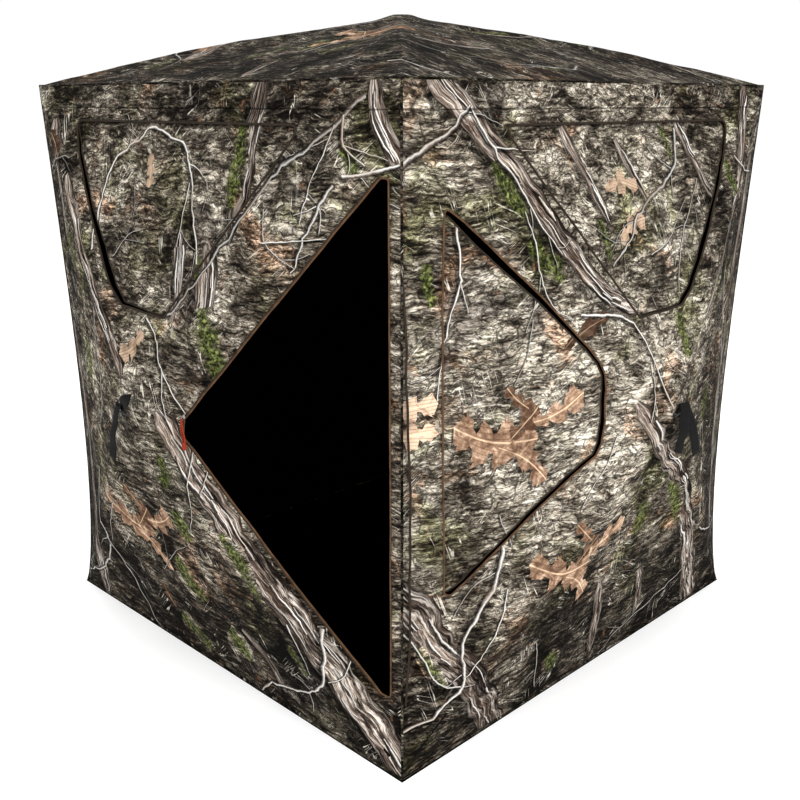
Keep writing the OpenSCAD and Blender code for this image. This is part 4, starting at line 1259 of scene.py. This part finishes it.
rng = random.Random(300)
outline = inset(DOOR, -0.007)
sh = Sheet()
xs = [p[0] for p in outline]
ys = [p[1] for p in outline]
sh.cloth(outline, [], generic_print(rng, min(xs), max(xs), min(ys), max(ys), 0.9), door_where, 301)
pts = densify(outline, 0.014)
sh.tube([door_where(x, y, -0.0007)[0] for x, y in pts], [0.0] * len(pts), 0.0028, K_PIPE_DK, 6, closed=True)
ob = sh.build("door_cloth")
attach(ob, "door_panel")
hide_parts("door_panel")

# ---------------------------------------------------------------- zip tape round the door, with its teeth
sh = Sheet()


def tape(w, a, b, width, off, body_share=False):
    """A flat tape along a straight line in the wall plane."""
    n = max(2, int((Vector(b) - Vector(a)).length / 0.012))
    t = (Vector(b) - Vector(a)).normalized()
    nr = Vector((-t.y, t.x))
    rows = []
    for i in range(n + 1):
        c = Vector(a).lerp(Vector(b), i / n)
        row = []
        for s_, o_ in ((-0.5, off), (-0.18, off + 0.0007), (0.18, off + 0.0007), (0.5, off)):
            q = c + nr * width * s_
            row.append(len(sh.v))
            p, k = place(w, q.x, q.y, o_)
            sh.v.append(p)
            sh.w.append(k)
        for s_ in (0.5, -0.5):
            q = c + nr * width * s_
            row.append(len(sh.v))
            p, k = place(w, q.x, q.y, off - 0.0012)
            sh.v.append(p)
            sh.w.append(k)
        rows.append(row)
    for r0, r1 in zip(rows, rows[1:]):
        for k in range(6):
            sh._quad([r0[k], r1[k], r1[(k + 1) % 6], r0[(k + 1) % 6]], 0)
    sh._quad(rows[0][::-1], 0)
    sh._quad(rows[-1], 0)


mid = inset(DOOR, -0.0030)
runs = [(mid[1], mid[2]), (mid[2], mid[3]), (mid[3], mid[4])]
for a, b in runs:
    tape("front", a, b, 0.0046, 0.0012)
for a, b in runs:
    t = (Vector(b) - Vector(a))
    n = max(2, int(t.length / 0.0065))
    cen = [Vector(a).lerp(Vector(b), i / n) for i in range(n + 1)]
    pp = [place("front", c.x, c.y, 0.0026) for c in cen]
    sh.tube([p for p, _ in pp], [s for _, s in pp], lambda f, n=n: 0.0011 + 0.0005 * ((int(round(f * n))) % 2), 1, 6)
ob = sh.build("door_zip", mats=[M_PIPE, M_PIPE_DK])
# the tape lies on the right-hand panel of the front wall
blend_exact(ob, "front_hub", sh.w)
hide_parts("door_zip_tape")

# ---------------------------------------------------------------- bound edges
sh = Sheet()
sh.tube_shade = 0.62


def edge_run(w, a, b, n=60):
    return [place(w, a[0] + (b[0] - a[0]) * i / n, a[1] + (b[1] - a[1]) * i / n)[0] for i in range(n + 1)]


for w in WALLS[:4]:
    dn, up_ = -reach(w, 0), reach(w, 2)
    for a, b, r in (((-HALF, dn), (-HALF, up_), 0.0030), ((-HALF, up_), (HALF, up_), 0.0034), ((-HALF, dn), (HALF, dn), 0.0034)):
        o, ex, ey, en = ring(w)
        pts = []
        for i in range(81):
            x = a[0] + (b[0] - a[0]) * i / 80
            y = a[1] + (b[1] - a[1]) * i / 80
            m = seam_bow(y + HUB_Z) / math.sqrt(2) * (abs(x) / HALF) ** 3
            pts.append(o + ex * (x - math.copysign(m, x)) + ey * y - en * m)
        sh.tube(pts, [0.0] * len(pts), lambda f, r=r: r * (1 + 0.05 * math.sin(f * 400)), 0, 9)
ob = sh.build("edge_binding", mats=[M_BARK])
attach(ob, "root")
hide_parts("edge_cords")

# ---------------------------------------------------------------- pull straps: webbing thrown over the hub's bar
STRAP = {"front": ((-0.012, -0.112, 0.010), (0.062, 0.050, 0.004)), "right": ((-0.046, -0.088, 0.006), (0.060, -0.118, 0.010)),
         "back": ((-0.030, -0.125, 0.012), (0.040, -0.110, 0.012)), "left": ((-0.020, -0.128, 0.012), (0.046, -0.090, 0.012))}


def strap_piece(w):
    o, ex, ey, en = ring(w)
    pv = Vector(JOINT[f"{w}_strap_lift"]["pos_m"])
    (ax_, ay_, an_), (bx_, by_, bn_) = STRAP[w]
    rng = random.Random(500 + WALLS.index(w))
    path = []
    n = 22
    for i in range(n + 1):
        t = 1 - i / n
        path.append((bx_ * t ** 0.8, 0.022 + (by_ - 0.022) * t + 0.004 * math.sin(math.pi * t), 0.0045 + 0.008 * math.sin(math.pi * t * 0.8) + bn_ * t))
    for i in range(1, 8):
        t = i / 8
        path.append((0.0, 0.022 + 0.006 * math.sin(math.pi * t), 0.0045 + 0.0065 * t))
    for i in range(n + 1):
        t = i / n
        path.append((ax_ * t ** 0.9, 0.022 + (ay_ - 0.022) * t, 0.011 + 0.012 * math.sin(math.pi * t * 0.75) + an_ * t + 0.0015 * math.sin(t * 14)))
    sh = Sheet()
    rows = []
    P = [pv + ex * a + ey * b + en * c for a, b, c in path]
    W, th = 0.0165, 0.0008
    for i, p in enumerate(P):
        t = (P[min(i + 1, len(P) - 1)] - P[max(i - 1, 0)]).normalized()
        tw = 0.35 * math.sin(i / len(P) * 3.1 + rng.random() * 0.02)
        sd = ex * math.cos(tw) + en * math.sin(tw) * 0.6
        sd = (sd - t * sd.dot(t)).normalized()
        up_ = sd.cross(t)
        row = []
        for s_, k_ in ((-1, 0.7), (-0.88, 1.3), (-0.5, 1.0), (0, 1.25), (0.5, 1.0), (0.88, 1.3), (1, 0.7),
                       (1, -0.7), (0.88, -1.3), (0, -1.1), (-0.88, -1.3), (-1, -0.7)):
            row.append(len(sh.v))
            sh.v.append(p + sd * (s_ * W) + up_ * (k_ * th))
            sh.w.append(0.0)
        rows.append(row)
    m = len(rows[0])
    for r0, r1 in zip(rows, rows[1:]):
        for k in range(m):
            sh._quad([r0[k], r0[(k + 1) % m], r1[(k + 1) % m], r1[k]], 0)
    sh._quad(rows[0][::-1], 0)
    sh._quad(rows[-1], 0)
    ob = sh.build(f"{w}_strap", mats=[M_WEB])
    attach(ob, f"{w}_pull_strap")
    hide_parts(f"{w}_pull_strap")


for w in WALLS[:4]:
    strap_piece(w)

# ---------------------------------------------------------------- zip slider and red pull
sh = Sheet()
lo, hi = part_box("zip_slider")
o, ex, ey, en = ring("front")
tip = Vector(DOOR[2])
up_dir = (Vector(DOOR[1]) - tip).normalized()
c2 = Vector(mid[2]) + up_dir * 0.004
base3, _ = place("front", c2.x, c2.y, 0.0036)
al = (place("front", (c2 + up_dir * 0.02).x, (c2 + up_dir * 0.02).y, 0.0036)[0] - base3).normalized()
nn = (en + ex * 0.28).normalized()
nn = (nn - al * nn.dot(al)).normalized()
si = nn.cross(al)


def block(c, a, b, n, la, lb, ln, mat, bev=0.25):
    """A small bevelled block as a superellipse loft."""
    rows = []
    for i in range(7):
        f = -1 + 2 * i / 6
        k = (1 - abs(f) ** 4) ** 0.25 * 0.9 + 0.1
        row = []
        for q in range(16):
            t = 2 * math.pi * q / 16
            cx, sx = math.cos(t), math.sin(t)
            sq = (abs(cx) ** 4 + abs(sx) ** 4) ** -0.25
            row.append(len(sh.v))
            sh.v.append(c + a * (la * cx * sq * k) + b * (lb * sx * sq * k) + n * (ln * f))
            sh.w.append(0.0)
        rows.append(row)
    for r0, r1 in zip(rows, rows[1:]):
        for k in range(16):
            sh._quad([r0[k], r0[(k + 1) % 16], r1[(k + 1) % 16], r1[k]], mat)
    sh._quad(rows[0][::-1], mat)
    sh._quad(rows[-1], mat)


block(base3 + nn * 0.0012, al, si, nn, 0.009, 0.0050, 0.0020, 0)
arc = [base3 + al * (0.006 * math.cos(t)) + nn * (0.0034 + 0.0035 * math.sin(t)) for t in [math.pi * i / 8 for i in range(9)]]
sh.tube(arc, [0.0] * len(arc), 0.0011, 0, 8)
hang = base3 + nn * 0.0060
loopc = []
PL = 0.078
for i in range(41):
    t = i / 40
    a = 2 * math.pi * t
    wdt = 0.0042 * math.sin(a) * (1 - 0.35 * math.cos(a))
    dn_ = (1 - math.cos(a)) / 2 * PL
    loopc.append(hang - Vector((0, 0, 1)) * dn_ + ex * (wdt + 0.004 * (dn_ / PL) ** 2) + en * (0.0015 * math.sin(dn_ * 80)))
sh.tube(loopc[:-1], [0.0] * 40, 0.0021, 1, 8, closed=True)
block(hang - Vector((0, 0, 1)) * (PL * 0.90) + ex * 0.004, Vector((0, 0, 1)), ex, en, 0.010, 0.0065, 0.0042, 1)
ob = sh.build("zip_pull", mats=[M_STEEL, M_RED])
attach(ob, "zip_slider")
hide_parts("zip_slider")

# ---------------------------------------------------------------- corner boots, drawn in so that the cloth closes over them
src = frame["nodes"]["corner_boots"].data
groups = {}
for v in src.vertices:
    groups.setdefault((v.co.x > 0, v.co.y > 0, v.co.z > 0.8), []).append(v.index)
co = [Vector(v.co) for v in src.vertices]
for (px_, py_, top_), ids in groups.items():
    c = sum((co[i] for i in ids), Vector()) / len(ids)
    zt = max(co[i].z for i in ids)
    for i in ids:
        q = c + (co[i] - c) * 0.84
        q.x -= math.copysign(0.011, c.x)
        q.y -= math.copysign(0.011, c.y)
        q.z = zt - (zt - co[i].z) * 0.84 - 0.007 if top_ else co[i].z * 0.84
        co[i] = q
me = bpy.data.meshes.new("corner_boots_in")
me.from_pydata([tuple(q) for q in co], [], [tuple(f.vertices) for f in src.polygons])
me.update()
ob = bpy.data.objects.new("corner_boots_in", me)
bpy.context.scene.collection.objects.link(ob)
me.materials.append(M_BOOT)
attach(ob, "root")
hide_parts("corner_boots")

# ---------------------------------------------------------------- carried CAD nodes
for name, node in frame["nodes"].items():
    if node.hide_render:
        continue
    m = M_HUB
    if "_pole_" in name:
        m = M_POLE
    elif name == "corner_boots":
        m = M_BOOT
    elif name == "stake_tabs":
        m = M_WEB
    node.data.materials.clear()
    node.data.materials.append(m)

# ---------------------------------------------------------------- stage, light and camera
bpy.ops.mesh.primitive_plane_add(size=60, location=(0, 0, -0.0015))
floor = bpy.context.object
floor.name = "floor"
fm = new_mat("floor_mat")
N = Net(fm)
obc = N.n("ShaderNodeTexCoord").outputs["Object"]
s = sep(N, obc)
mx = N.math("MAXIMUM", N.math("ABSOLUTE", s[0]), N.math("ABSOLUTE", s[1]))
# painted shade: the ground inside the shelter's footprint is painted black in place of the shelter's shadow; outside it
# the floor is evenly bright
footprint_shade_mask = N.math("MULTIPLY", N.math("SUBTRACT", HALF + 0.0045, mx), 900, clamp=True)
pale = N.ramp(N.noise(obc, 3, 3, 0.5), [(0.3, (0.86, 0.86, 0.86)), (0.7, (0.90, 0.90, 0.90))])
bs = N.out(N.mix(footprint_shade_mask, pale, (0.0, 0.0, 0.0)), 0.9, spec=0.0)
bs.inputs["Emission Color"].default_value = (1, 1, 1, 1)
N.link(N.math("MULTIPLY", N.math("SUBTRACT", 1.0, footprint_shade_mask), 0.26), bs.inputs["Emission Strength"])
floor.data.materials.append(fm)

world = bpy.data.worlds.new("studio")
bpy.context.scene.world = world
world.use_nodes = True
world.node_tree.nodes["Background"].inputs[0].default_value = (1, 1, 1, 1)
world.node_tree.nodes["Background"].inputs[1].default_value = 1.02


def area(loc, target, size, power):
    l = bpy.data.lights.new("area", "AREA")
    l.shape = "RECTANGLE"
    l.size, l.size_y = size
    l.energy = power
    ob = bpy.data.objects.new("area", l)
    bpy.context.scene.collection.objects.link(ob)
    ob.location = loc
    ob.rotation_mode = "QUATERNION"
    ob.rotation_quaternion = (Vector(target) - Vector(loc)).to_track_quat("-Z", "Y")
    return ob


area((4.6, -1.2, 2.6), (0.6, 0, 0.8), (2.4, 2.2), 150)
area((0.6, -4.8, 2.9), (0, -0.6, 0.8), (2.0, 2.0), 85)
area((-2.0, 1.5, 5.5), (0, 0, 1.0), (4, 4), 90)

cam = bpy.data.cameras.new("camera")
cam.sensor_width = 36
cam.lens = 1015.2 / 800 * 36
cam.shift_x = -4.17 / 800
cam.clip_end = 100
co = bpy.data.objects.new("camera", cam)
bpy.context.scene.collection.objects.link(co)
D, HC, PITCH, YAW = 3.1167, 1.5458, 0.2858, 0.0023
co.location = (D / math.sqrt(2), -D / math.sqrt(2), HC)
fw = Vector((-1, 1, 0)).normalized()
rt = Vector((1, 1, 0)).normalized()
look = fw * math.cos(YAW) + rt * math.sin(YAW)
look = look * math.cos(PITCH) - Vector((0, 0, 1)) * math.sin(PITCH)
co.rotation_mode = "QUATERNION"
co.rotation_quaternion = look.to_track_quat("-Z", "Y")
bpy.context.scene.camera = co
bpy.context.scene.view_settings.view_transform = "Standard"
